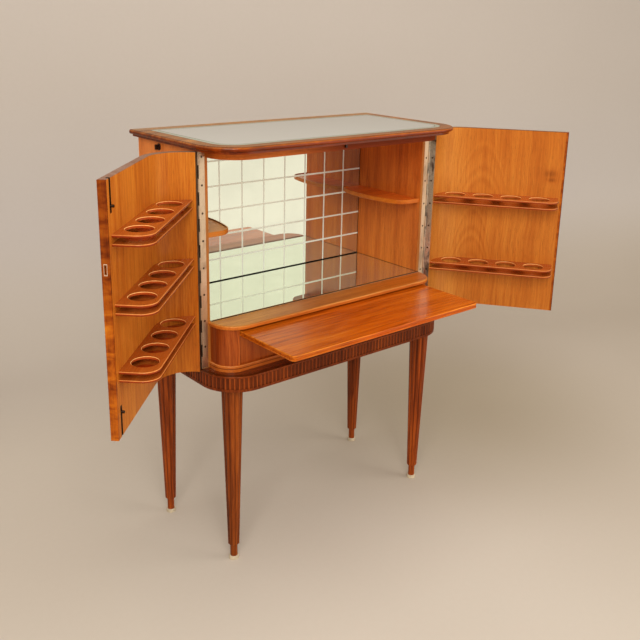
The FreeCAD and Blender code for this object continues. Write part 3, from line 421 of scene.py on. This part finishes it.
def top_plate(name):
    """Pale green plate with a dark seam and a darker bevelled border."""
    g = Graph(name)
    where = g.place("cabinet")
    xyz = g.split(where)
    lo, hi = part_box("top_glass")
    half = (hi.x - lo.x) / 2
    edge = inside_plan(g, xyz, half, ORIGIN.y - lo.y, ORIGIN.y - hi.y, PLATE_RADIUS)
    side = g.calc("SUBTRACT", half, g.calc("ABSOLUTE", xyz[0]))
    edge = g.calc("MINIMUM", edge, side)
    cloud = g.noise(where, 3.5, 3.0, 0.55)
    plain = g.mixed(cloud, linear(252, 250, 243), linear(255, 255, 250))
    band = g.calc("MULTIPLY", g.span(edge, 0.002, 0.0035), g.span(edge, 0.0165, 0.0145))
    tone = g.mixed(g.calc("MULTIPLY", band, 0.8), plain, linear(216, 230, 204))
    fine = g.calc("MULTIPLY", g.span(edge, 0.0140, 0.0155), g.span(edge, 0.0195, 0.0180))
    tone = g.mixed(g.calc("MULTIPLY", fine, 0.8), tone, linear(112, 126, 98))
    seam = g.span(edge, 0.0022, 0.0008)
    tone = g.mixed(seam, tone, linear(60, 46, 32))
    dust = g.noise(where, 380.0, 3.0, 0.7)
    rough = g.calc("MULTIPLY_ADD", dust, 0.08, 0.10)
    return g.finish(Base_Color=tone, Roughness=rough, Metallic=0.15, Specular_IOR_Level=0.6,
                    Coat_Weight=0.6, Coat_Roughness=0.04)


def strike_finish(name):
    """Plated strike with a bright worn rim and a browned face."""
    g = Graph(name)
    where = g.place("left_door")
    xyz = g.split(where)
    off = [g.calc("ABSOLUTE", g.calc("SUBTRACT", value, middle))
           for value, middle in zip(xyz[1:3], STRIKE_MIDDLE)]
    rim = g.calc("MAXIMUM", g.span(off[0], *STRIKE_RIM[0]), g.span(off[1], *STRIKE_RIM[1]))
    worn = g.noise(where, 260.0, 3.0, 0.6)
    bare = g.calc("MULTIPLY_ADD", worn, -0.35, rim, clamp=True)
    tone = g.mixed(bare, linear(150, 84, 40), linear(250, 226, 196))
    return g.finish(Base_Color=tone, Roughness=g.calc("MULTIPLY_ADD", worn, 0.2, 0.3),
                    Metallic=0.3)


# Tones of each wood, from its dark streaks to its pale ones

DOOR_LEFT = [linear(123, 58, 11), linear(193, 102, 27), linear(214, 125, 38), linear(232, 151, 57)]
DOOR_RIGHT = [linear(119, 57, 12), linear(188, 101, 30), linear(209, 124, 42), linear(227, 152, 60)]
SIDE = [linear(122, 58, 22), linear(198, 108, 47), linear(222, 134, 64), linear(242, 160, 86)]
FRIEZE = [linear(96, 38, 10), linear(164, 76, 26), linear(194, 100, 38), linear(220, 128, 56)]
LEDGE = [linear(97, 42, 9), linear(164, 87, 28), linear(189, 110, 41), linear(208, 135, 57)]
MOULDING = [linear(100, 39, 8), linear(170, 81, 24), linear(195, 102, 36), linear(215, 126, 51)]
POST = [linear(86, 29, 5), linear(146, 61, 16), linear(170, 81, 26), linear(193, 103, 40)]
SHELF = [linear(125, 46, 8), linear(206, 91, 22), linear(231, 115, 33), linear(250, 145, 50)]
FRAME = [linear(57, 18, 4), linear(117, 45, 9), linear(157, 68, 15), linear(198, 98, 26)]
BOARD = [linear(125, 45, 2), linear(188, 77, 7), linear(209, 96, 13), linear(227, 118, 25)]
RACK = [linear(95, 32, 6), linear(158, 65, 17), linear(181, 83, 25), linear(202, 106, 37)]
BASE = [linear(40, 14, 7), linear(88, 33, 13), linear(120, 50, 19), linear(152, 70, 28)]
LEG = [linear(70, 24, 5), linear(135, 54, 12), linear(177, 78, 19), linear(217, 107, 30)]
LEG_PALE = [linear(55, 19, 4), linear(108, 45, 10), linear(143, 65, 16), linear(175, 90, 27)]
LIP = [linear(62, 20, 2), linear(140, 58, 5), linear(184, 91, 12), linear(212, 123, 25)]
PLAIN = [linear(120, 84, 52), linear(168, 124, 80), linear(188, 146, 98), linear(206, 168, 120)]

EVERYWHERE = (-1.0, -0.9)      # heights for a zone that takes in the whole piece

# Finish of each kind of piece
finishes = {
    "door_left": wood(
        "door_left", "left_door", "z", DOOR_LEFT, ribbon=0.26, stripe=0.5, drift=0.26, seed=3.1,
        sway_size=0.02, edge=0.0,
        zones=(("z", 1.05, 1.2, (1.10, 1.14, 1.2)),
               ("z", 1.2272, 1.2276, (0.52, 0.92, 6.5)),
               ("x", -0.02, -0.012, (1.1, 1.15, 1.2)),
               ("x", -0.30, -0.38, (0.80, 0.76, 0.66)))),
    "door_right": wood(
        "door_right", "right_door", "z", DOOR_RIGHT, ribbon=0.16, stripe=0.34, drift=0.2, seed=7.7,
        edge=0.0,
        arches=((0.270, 1.198, 0.085, 0.052, 0.05),
                (0.292, 0.975, 0.070, 0.046, 0.055)),
        knots=((0.046, 1.090, 0.017), (0.042, 1.068, 0.012)),
        zones=(("x", 0.25, 0.40, (1.08, 1.32, 1.8)),
               ("z", 1.05, 1.2, (0.95, 0.88, 0.78)),
               ("z", 1.2272, 1.2276, (0.5, 0.5, 0.6)))),
    "lip_left": wood(
        "lip_left", "left_door", "z", LIP, ribbon=0.25, stripe=0.2, mottle=0.7, seed=1.3,
        zones=(("z", 0.85, 1.05, (0.62, 0.52, 0.6)),)),
    "lip_right": wood(
        "lip_right", "right_door", "z", LIP, ribbon=0.25, stripe=0.2, mottle=0.5, seed=2.3,
        zones=(("x", 0.0035, 0.0022, (0.3, 0.24, 0.25)),)),
    "rack_left": wood(
        "rack_left", "left_door", "x", RACK, ribbon=0.2, stripe=0.25, seed=4.4, gloss=0.26,
        coat=0.25, edge=1.0,
        # painted shade on the upright faces, painted light on the tops, a painted highlight on each
        # hole's wall and painted shade on the lower plate seen through the holes
        zones=(("up", 0.1, 0.0, (0.64, 0.38, 0.4)),
               ("up", 0.96, 0.99, (1.0, 1.2, 1.35)),
               ("holes", 0.090, 0.090, (1.75, 2.7, 3.8), "rim"),
               ("holes", 0.090, 0.090, (0.72, 0.36, 0.32), "flat"))),
    "rack_right": wood(
        "rack_right", "right_door", "x", RACK, ribbon=0.2, stripe=0.25, seed=5.4, gloss=0.26,
        coat=0.25, edge=1.0,
        # painted shade on the upright faces, painted light on the tops and a painted highlight on
        # each hole's wall
        zones=(("up", 0.1, 0.0, (0.8, 0.6, 0.6)),
               ("up", 0.96, 0.99, (1.1, 1.15, 1.1)),
               ("holes", 0.076, 0.0925, (1.6, 2.6, 3.6), "rim"))),
    "side": wood(
        "side", "cabinet", "z", SIDE, ribbon=0.3, stripe=0.4, drift=0.2, seed=9.2, edge=0.0,
        # painted light: inner and outer faces tinted apart for the different light on them; the
        # upper part darker as painted shade under the top
        zones=(("wide", 0.4250, 0.4200, (0.98, 0.80, 0.44)),
               ("z", 1.02, 1.16, (1.05, 0.86, 0.7)),
               ("wide", 0.4200, 0.4250, (1.25, 1.4, 1.6)),
               ("y", -0.3278, -0.3283, (0.62, 0.85, 1.3)))),
    "curved": wood(
        "curved", "cabinet", "z", POST, ribbon=0.5, stripe=0.55, seed=11.0, coat=0.2,
        # painted shade on the posts' outer rounding and a painted highlight strip further in
        zones=(("wide", 0.395, 0.42, (0.72, 0.58, 0.55)),
               ("wide", 0.385, 0.372, (1.35, 1.5, 1.5)))),
    "panel": wood(
        "panel", "cabinet", "z", POST, ribbon=0.35, stripe=0.35, seed=11.9,
        # painted shadow of the posts' edges on the panel's ends
        zones=(("wide", 0.354, 0.366, (0.45, 0.4, 0.4)),)),
    "long": wood(
        "long", "cabinet", "x", LEDGE, ribbon=0.3, stripe=0.5, seed=12.5, sway_size=0.02, edge=0.25,
        # painted reflection: the top paler and greyer at the left
        zones=(("x", -0.05, -0.3, (1.25, 1.8, 2.2), "flat"),
               ("x", 0.0, 0.3, (1.15, 0.9, 0.5), "flat"),
               ("up", 0.9, 0.5, (1.15, 0.95, 0.7)))),
    "moulding": wood(
        "moulding", "cabinet", "x", MOULDING, ribbon=0.3, stripe=0.4, seed=12.7, edge=0.3, coat=0.3,
        gloss=0.24,
        # dark line round the moulding, painted shade of a groove between two beads
        zones=(("line", 0.6205, 0.0014, (0.28, 0.22, 0.25)),)),
    "frieze": wood(
        "frieze", "cabinet", "x", FRIEZE, ribbon=0.25, stripe=0.25, seed=12.9, coat=0.0, gloss=0.55,
        zones=(("x", 0.0, -0.3, (1.2, 1.25, 1.1)),
               ("x", -0.25, 0.02, (0.42, 0.22, 0.08)))),
    "frame": wood(
        "frame", "cabinet", "x", FRAME, ribbon=0.4, stripe=0.3, mottle=0.15, seed=13.1, gloss=0.2,
        coat=0.45, edge=0.6,
        # painted reflection: the flat top lighter, paler and bluer still at the left; painted shade
        # in a band where the top turns down into the nose and on the nose's upright and lower faces
        zones=(("up", 0.96, 0.99, (1.7, 2.7, 1.6)),
               ("up", 0.85, 0.6, (1.14, 1.02, 0.6)),
               ("east", -0.3, -0.7, (1.0, 1.22, 2.3)),
               ("x", -0.1, -0.4, (1.1, 1.4, 3.5), "flat"),
               ("y", -0.045, -0.037, (1.1, 1.5, 4.0), "flat"),
               ("tilt", 0.9, 0.07, (0.35, 0.3, 0.35)),
               ("up", 0.3, 0.0, (0.7, 0.55, 0.45)))),
    "board": wood(
        "board", "cabinet", "x", BOARD, ribbon=0.36, stripe=0.85, drift=0.16, seed=14.9, gloss=0.26,
        coat=0.25, ribbon_scale=70.0, sway_size=0.015, edge=0.35,
        # painted reflection: the board paler and greyer toward the left
        zones=(("x", -0.02, -0.32, (0.96, 1.22, 1.7)),
               ("x", 0.1, 0.32, (1.08, 1.25, 1.3)))),
    "shelf": wood(
        "shelf", "cabinet", "x", SHELF, ribbon=0.3, stripe=0.25, seed=15.5, edge=0.0, coat=0.2,
        # painted shade on the rim's rounding
        zones=(("tilt", 0.6, 0.34, (0.85, 0.85, 0.9)),
               ("x", 0.28, 0.30, (0.84, 1.05, 1.0), "rim"),
               ("x", 0.28, 0.30, (1.15, 1.1, 1.1), "flat"))),
    "shelf_left": wood(
        "shelf_left", "cabinet", "x", SHELF, ribbon=0.3, stripe=0.25, seed=15.9, edge=0.0, coat=0.2,
        # painted reflection: the flat top paler and greyer; painted shade on the faces that look
        # left, away from the light
        zones=(("z", *EVERYWHERE, (1.12, 2.8, 8.5), "flat"),
               ("east", -0.4, -0.7, (0.16, 0.10, 0.12)),
               ("z", *EVERYWHERE, (0.74, 1.06, 0.9), "rim"))),
    "base": wood(
        "base", "cabinet", "x", BASE, ribbon=0.3, stripe=0.3, seed=16.2, gloss=0.24, coat=0.3),
    "apron": wood(
        "apron", "cabinet", "z", LEG, ribbon=0.3, stripe=0.4, seed=17.2, gloss=0.3, coat=0.15,
        edge=0.4, groove=apron_flutes, groove_shade_tint=(0.44, 0.40, 0.44),
        zones=(("z", 0.7, 0.6, (0.80, 0.82, 0.95)),
               ("z", 0.5738, 0.5728, (0.6, 0.55, 0.6)),
               ("z", 0.6052, 0.6062, (0.65, 0.6, 0.65)))),
    "leg": wood(
        "leg", "cabinet", "z", LEG, ribbon=0.5, stripe=0.5, drift=0.35, seed=18.8, gloss=0.24,
        coat=0.25, groove=leg_valleys, groove_shade_tint=(0.58, 0.52, 0.5),
        # painted shade: the right-hand legs and the rear legs darker
        zones=(("x", -0.1, 0.1, (0.78, 0.74, 0.7)),
               ("y", -0.3, -0.1, (0.76, 0.74, 0.85)))),
    "leg_pale": wood(
        "leg_pale", "cabinet", "z", LEG_PALE, ribbon=0.5, stripe=0.5, drift=0.35, seed=21.8,
        gloss=0.24, coat=0.25, groove=leg_valleys, groove_shade_tint=(0.62, 0.56, 0.52),
        # painted shade under the apron on the leg's upper part
        zones=(("z", 0.35, 0.6, (0.95, 0.92, 0.9)),)),
    "plain": wood(
        "plain", "cabinet", "x", PLAIN, ribbon=0.3, stripe=0.3, seed=19.4, gloss=0.65, coat=0.0,
        edge=0.0),
    "mirror_back": mirror("mirror_back", (228, 234, 222), True),
    "mirror_floor": mirror("mirror_floor", (236, 244, 230), False),
    "top_plate": top_plate("top_plate"),
    "hinge": metal("hinge", (240, 214, 186), (120, 84, 56), 0.38, 0.35, 28.0),
    "hinge_door": metal("hinge_door", (226, 214, 196), (70, 44, 28), 0.28, 0.95, 30.0),
    # the left door's hinge leaf, dark as painted shade of the gap by the knuckles
    "hinge_shade": metal("hinge_shade", (92, 80, 68), (46, 36, 28), 0.4, 0.5, 26.0),
    "screw": metal("screw", (96, 74, 56), (46, 32, 24), 0.45, 0.6, 90.0),
    "dark_metal": metal("dark_metal", (78, 62, 50), (34, 26, 20), 0.42, 0.6, 60.0),
    "bright": strike_finish("bright"),
    "brass": metal("brass", (196, 156, 88), (104, 74, 36), 0.3, 0.5, 50.0),
    "glide": moulded("glide", (222, 204, 172), 0.5),
    "dark_plastic": moulded("dark_plastic", (54, 26, 18), 0.45),
    # near-black: dark seams, and the painted shade in the gaps at the mirror plates' edges
    "seam": moulded("seam", (16, 10, 5), 0.9, shine=0.03),
    "knob": moulded("knob", (40, 22, 16), 0.25),
}


PLAIN_NODES = ("top_panel", "inner_floor", "back_panel", "board_stops", "board_runners")
BY_NAME = {
    "top_frame": "frame", "top_glass": "top_plate", "back_mirror": "mirror_back",
    "mirror_floor": "mirror_floor", "fluted_apron": "apron", "base_platform": "base",
    "leg_glides": "glide", "leg_front_left": "leg_pale", "serving_board": "board",
    "lower_front_panel": "panel", "frieze_rail": "frieze", "ledge": "long",
    "base_moulding": "moulding", "door_stop": "dark_plastic", "strike_plate": "bright",
    "switch_rosette": "dark_plastic", "switch_knob": "knob",
}
# Part of a name, with the finish on the left side and on the right; the first that fits is taken
BY_PART = (
    ("leg_", "leg", "leg"), ("_door_panel", "door_left", "door_right"),
    ("_lipping", "lip_left", "lip_right"), ("_rack_", "rack_left", "rack_right"),
    ("_shelf", "shelf_left", "shelf"), ("_side_panel", "side", "side"),
    ("corner_post", "curved", "curved"), ("screws", "screw", "screw"),
    ("door_leaf", "hinge_shade", "hinge_door"), ("hinge", "hinge", "hinge"),
    ("flush_bolt", "dark_metal", "dark_metal"), ("", "brass", "brass"),
)


def finish_of(name):
    if name in PLAIN_NODES:
        return "plain"
    if name in BY_NAME:
        return BY_NAME[name]
    for part, left, right in BY_PART:
        if part in name:
            return right if name.startswith("right") else left


for name, node in nodes.items():
    material = finishes[finish_of(name)]
    node.data.materials.clear()
    node.data.materials.append(material)


# Near-black strips where the mirror plates end: dark seams, and painted shade of the narrow gaps
# there; and the bead along the floor's front

BEVEL = 0.2      # of a strip's least measure


def strips(name, boxes, body, finish):
    """One piece of several narrow bevelled strips, each given by two corners."""
    verts, faces = [], []
    for (x0, y0, z0), (x1, y1, z1) in boxes:
        first = len(verts)
        cut = min(x1 - x0, y1 - y0, z1 - z0) * BEVEL
        for z, inset in ((z0, cut), (z0 + cut, 0.0), (z1 - cut, 0.0), (z1, cut)):
            for x, y in ((x0 + inset, y0 + inset), (x1 - inset, y0 + inset),
                         (x1 - inset, y1 - inset), (x0 + inset, y1 - inset)):
                verts.append(ORIGIN + Vector((x, y, z)))
        faces.append([first + i for i in (3, 2, 1, 0)])
        faces.append([first + 12 + i for i in (0, 1, 2, 3)])
        for ring in range(3):
            for i in range(4):
                j = (i + 1) % 4
                a, b = first + 4 * ring, first + 4 * ring + 4
                faces.append([a + i, a + j, b + j, b + i])
    mesh = bpy.data.meshes.new(name)
    mesh.from_pydata(verts, [], faces)
    mesh.materials.append(finishes[finish])
    piece = bpy.data.objects.new(name, mesh)
    bpy.context.scene.collection.objects.link(piece)
    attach(piece, body)


mirror_low, mirror_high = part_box("back_mirror")
plate_low, plate_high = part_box("mirror_floor")
FACE = mirror_low.y - ORIGIN.y
HALF = (mirror_high.x - mirror_low.x) / 2
PLATE_FRONT = plate_low.y - ORIGIN.y
PLATE = plate_high.z
strips("mirror_seams_and_gap_shade", (
    ((-HALF, FACE - 0.0005, PLATE + 0.0001), (HALF, FACE - 0.0001, PLATE + 0.0030)),
    ((-HALF, FACE - 0.0005, PLATE + 0.0031), (-HALF + 0.0012, FACE - 0.0001, mirror_high.z)),
    ((HALF - 0.0016, FACE - 0.0005, PLATE + 0.0031), (HALF, FACE - 0.0001, mirror_high.z)),
), "carcass", "seam")
strips("mirror_floor_seams_and_gap_shade", (
    ((-HALF, PLATE_FRONT, PLATE + 0.0001), (HALF, PLATE_FRONT + 0.0020, PLATE + 0.0022)),
    ((-HALF, PLATE_FRONT + 0.0041, PLATE + 0.0001), (-HALF + 0.001, FACE - 0.0006, PLATE + 0.0005)),
    ((HALF - 0.0012, PLATE_FRONT + 0.0041, PLATE + 0.0001), (HALF, FACE - 0.0006, PLATE + 0.0005)),
), "carcass", "seam")
strips("mirror_floor_bead", (
    ((-HALF + 0.0015, PLATE_FRONT + 0.0021, PLATE + 0.0001),
     (HALF - 0.0015, PLATE_FRONT + 0.0040, PLATE + 0.0022)),
), "carcass", "long")


# Stage: floor that sweeps up into a backdrop

REACH = 9.0             # to each side, and in front
BEND_START, BEND, BEND_STEPS = 1.3, 1.2, 16
LEAN = -0.35            # turn of the wall about the vertical, in radians
CLEARANCE = 0.0004      # below the glides


def backdrop():
    g = Graph("backdrop")
    where = g.place("cabinet")
    cloud = g.noise(where, 0.9, 3.0, 0.5)
    paper = g.noise(where, 55.0, 3.0, 0.6)
    tone = g.mixed(cloud, linear(209, 198, 187), linear(215, 205, 195))
    tone = g.mixed(g.calc("MULTIPLY", paper, 0.12), tone, linear(186, 170, 154))
    xyz = g.split(where)
    # painted shadow round a place at the cabinet's right, where the cabinet's shadow falls, and
    # painted shade low down, more so to the right, and at the wall's foot
    away = g.far(g.calc("SUBTRACT", xyz[0], 0.95), g.calc("ADD", xyz[1], 0.05))
    tone = g.tinted(g.span(away, 1.1, 0.1), tone, (0.78, 0.76, 0.69))
    low = g.span(xyz[2], 0.5, 0.05)
    tone = g.tinted(low, tone, (0.97, 0.955, 0.9))
    right = g.calc("MULTIPLY", low, g.span(xyz[0], 0.1, 1.0))
    tone = g.tinted(right, tone, (0.88, 0.86, 0.84))
    foot = g.calc("MULTIPLY", g.span(xyz[1], 0.5, 1.3), g.span(xyz[2], 1.3, 0.4))
    tone = g.tinted(foot, tone, (0.9, 0.9, 0.92))
    g.finish(Base_Color=tone, Roughness=0.85, Specular_IOR_Level=0.2)
    rays = g.tree.nodes.new("ShaderNodeLightPath")
    glow = g.tree.nodes.new("ShaderNodeEmission")
    glow.inputs[0].default_value = linear(214, 190, 160)
    glow.inputs[1].default_value = 0.4
    both = g.tree.nodes.new("ShaderNodeMixShader")
    g.feed(both.inputs[0], g.calc("MULTIPLY", rays.outputs["Is Glossy Ray"], 0.9))
    g.feed(both.inputs[1], g.shader.outputs[0])
    g.feed(both.inputs[2], glow.outputs[0])
    # The back of the stage is clear, so the object can be seen from there
    side = g.tree.nodes.new("ShaderNodeNewGeometry")
    clear = g.tree.nodes.new("ShaderNodeBsdfTransparent")
    shown = g.tree.nodes.new("ShaderNodeMixShader")
    g.feed(shown.inputs[0], g.calc("MULTIPLY", rays.outputs["Is Camera Ray"],
                                   side.outputs["Backfacing"]))
    g.feed(shown.inputs[1], both.outputs[0])
    g.feed(shown.inputs[2], clear.outputs[0])
    g.feed(g.end.inputs[0], shown.outputs[0])
    return g.mat


def sweep():
    """Floor in front and a wall behind, joined by a wide curve, as one strip."""
    profile = [(-REACH, 0.0), (-4.0, 0.0), (0.0, 0.0), (BEND_START, 0.0)]
    for step in range(1, BEND_STEPS + 1):
        turn = step / BEND_STEPS * math.pi / 2
        profile.append((BEND_START + BEND * math.sin(turn), BEND * (1 - math.cos(turn))))
    profile += [(BEND_START + BEND, 3.0), (BEND_START + BEND, 7.0)]
    lean = Matrix.Rotation(LEAN, 3, "Z")
    verts = []
    for y, z in profile:
        for x in (-REACH, REACH):
            verts.append(lean @ Vector((x, y, z - CLEARANCE)))
    faces = [(2 * i, 2 * i + 1, 2 * i + 3, 2 * i + 2) for i in range(len(profile) - 1)]
    mesh = bpy.data.meshes.new("sweep")
    mesh.from_pydata(verts, [], faces)
    for face in mesh.polygons:
        face.use_smooth = True
    mesh.materials.append(backdrop())
    piece = bpy.data.objects.new("sweep", mesh)
    bpy.context.scene.collection.objects.link(piece)


sweep()

# Soft studio light

def softbox(name, place, aim, size, power, colour, lit=True, mirrored=False):
    data = bpy.data.lights.new(name, "AREA")
    data.shape = "RECTANGLE"
    data.size, data.size_y = size
    data.energy = power
    data.color = colour
    lamp = bpy.data.objects.new(name, data)
    bpy.context.scene.collection.objects.link(lamp)
    lamp.location = place
    lamp.rotation_mode = "QUATERNION"
    lamp.rotation_quaternion = (Vector(aim) - Vector(place)).to_track_quat("-Z", "Y")
    lamp.visible_camera = False
    lamp.visible_diffuse = lit
    lamp.visible_glossy = mirrored


softbox("key", (-2.6, -3.0, 3.2), (0.0, 0.0, 0.7), (2.4, 2.0), 100.0, (1.0, 0.97, 0.93),
        mirrored=True)
softbox("fill", (2.8, -3.2, 2.4), (0.0, 0.0, 0.8), (2.4, 2.0), 42.0, (1.0, 0.98, 0.95))
softbox("overhead", (0.0, -0.6, 4.2), (0.0, 0.0, 0.0), (3.0, 3.0), 49.0, (1.0, 0.99, 0.97))
softbox("front", (-1.5, -3.4, 1.2), (0.0, 0.0, 0.6), (1.4, 1.0), 26.0, (1.0, 0.97, 0.93))
# bright room that only the mirrors and polished faces show
softbox("room", tuple(ORIGIN + Vector((1.6, -2.07, 1.05))),
        tuple(ORIGIN + Vector((1.6, 0.0, 1.05))), (2.6, 2.2), 15.4, (1.0, 0.955, 0.84),
        lit=False, mirrored=True)

world = bpy.data.worlds.new("room")
world.use_nodes = True
bpy.context.scene.world = world
wide = world.node_tree
wide.nodes.clear()
sky = wide.nodes.new("ShaderNodeBackground")
sky.inputs[0].default_value = linear(236, 230, 220)
sky.inputs[1].default_value = 0.55
seen = wide.nodes.new("ShaderNodeBackground")
seen.inputs[0].default_value = linear(226, 208, 180)
seen.inputs[1].default_value = 0.5
rays = wide.nodes.new("ShaderNodeLightPath")
pick = wide.nodes.new("ShaderNodeMixShader")
total = wide.nodes.new("ShaderNodeMath")
total.operation = "MAXIMUM"
wide.links.new(rays.outputs["Is Glossy Ray"], total.inputs[0])
wide.links.new(rays.outputs["Is Camera Ray"], total.inputs[1])
wide.links.new(total.outputs[0], pick.inputs[0])
wide.links.new(sky.outputs[0], pick.inputs[1])
wide.links.new(seen.outputs[0], pick.inputs[2])
last = wide.nodes.new("ShaderNodeOutputWorld")
wide.links.new(pick.outputs[0], last.inputs[0])

# Camera at the photograph's place

IMAGE = 640.0           # picture's side, in pixels, as are the focal length and the centre
SENSOR = 36.0
FOCAL = 850.48
CENTRE = (332.41, 271.87)
YAW, PITCH, ROLL = -0.7151, -0.2896, 0.0243
PLACE = Vector((-1.6269, -2.2426, 1.5686))


def camera():
    ahead = Vector((math.sin(-YAW) * math.cos(PITCH), math.cos(YAW) * math.cos(PITCH),
                    math.sin(PITCH)))
    level = Vector((math.cos(YAW), math.sin(YAW), 0.0))
    up = level.cross(ahead)
    right = math.cos(ROLL) * level + math.sin(ROLL) * up
    top = -math.sin(ROLL) * level + math.cos(ROLL) * up
    data = bpy.data.cameras.new("camera")
    data.sensor_width = SENSOR
    data.lens = FOCAL * SENSOR / IMAGE
    data.shift_x = (IMAGE / 2 - CENTRE[0]) / IMAGE
    data.shift_y = (CENTRE[1] - IMAGE / 2) / IMAGE
    data.clip_start = 0.05
    data.clip_end = 60.0
    shot = bpy.data.objects.new("camera", data)
    bpy.context.scene.collection.objects.link(shot)
    turn = Matrix((right, top, -ahead)).transposed().to_4x4()
    shot.matrix_world = Matrix.Translation(PLACE + ORIGIN) @ turn
    bpy.context.scene.camera = shot


camera()
bpy.context.scene.view_settings.view_transform = "Standard"
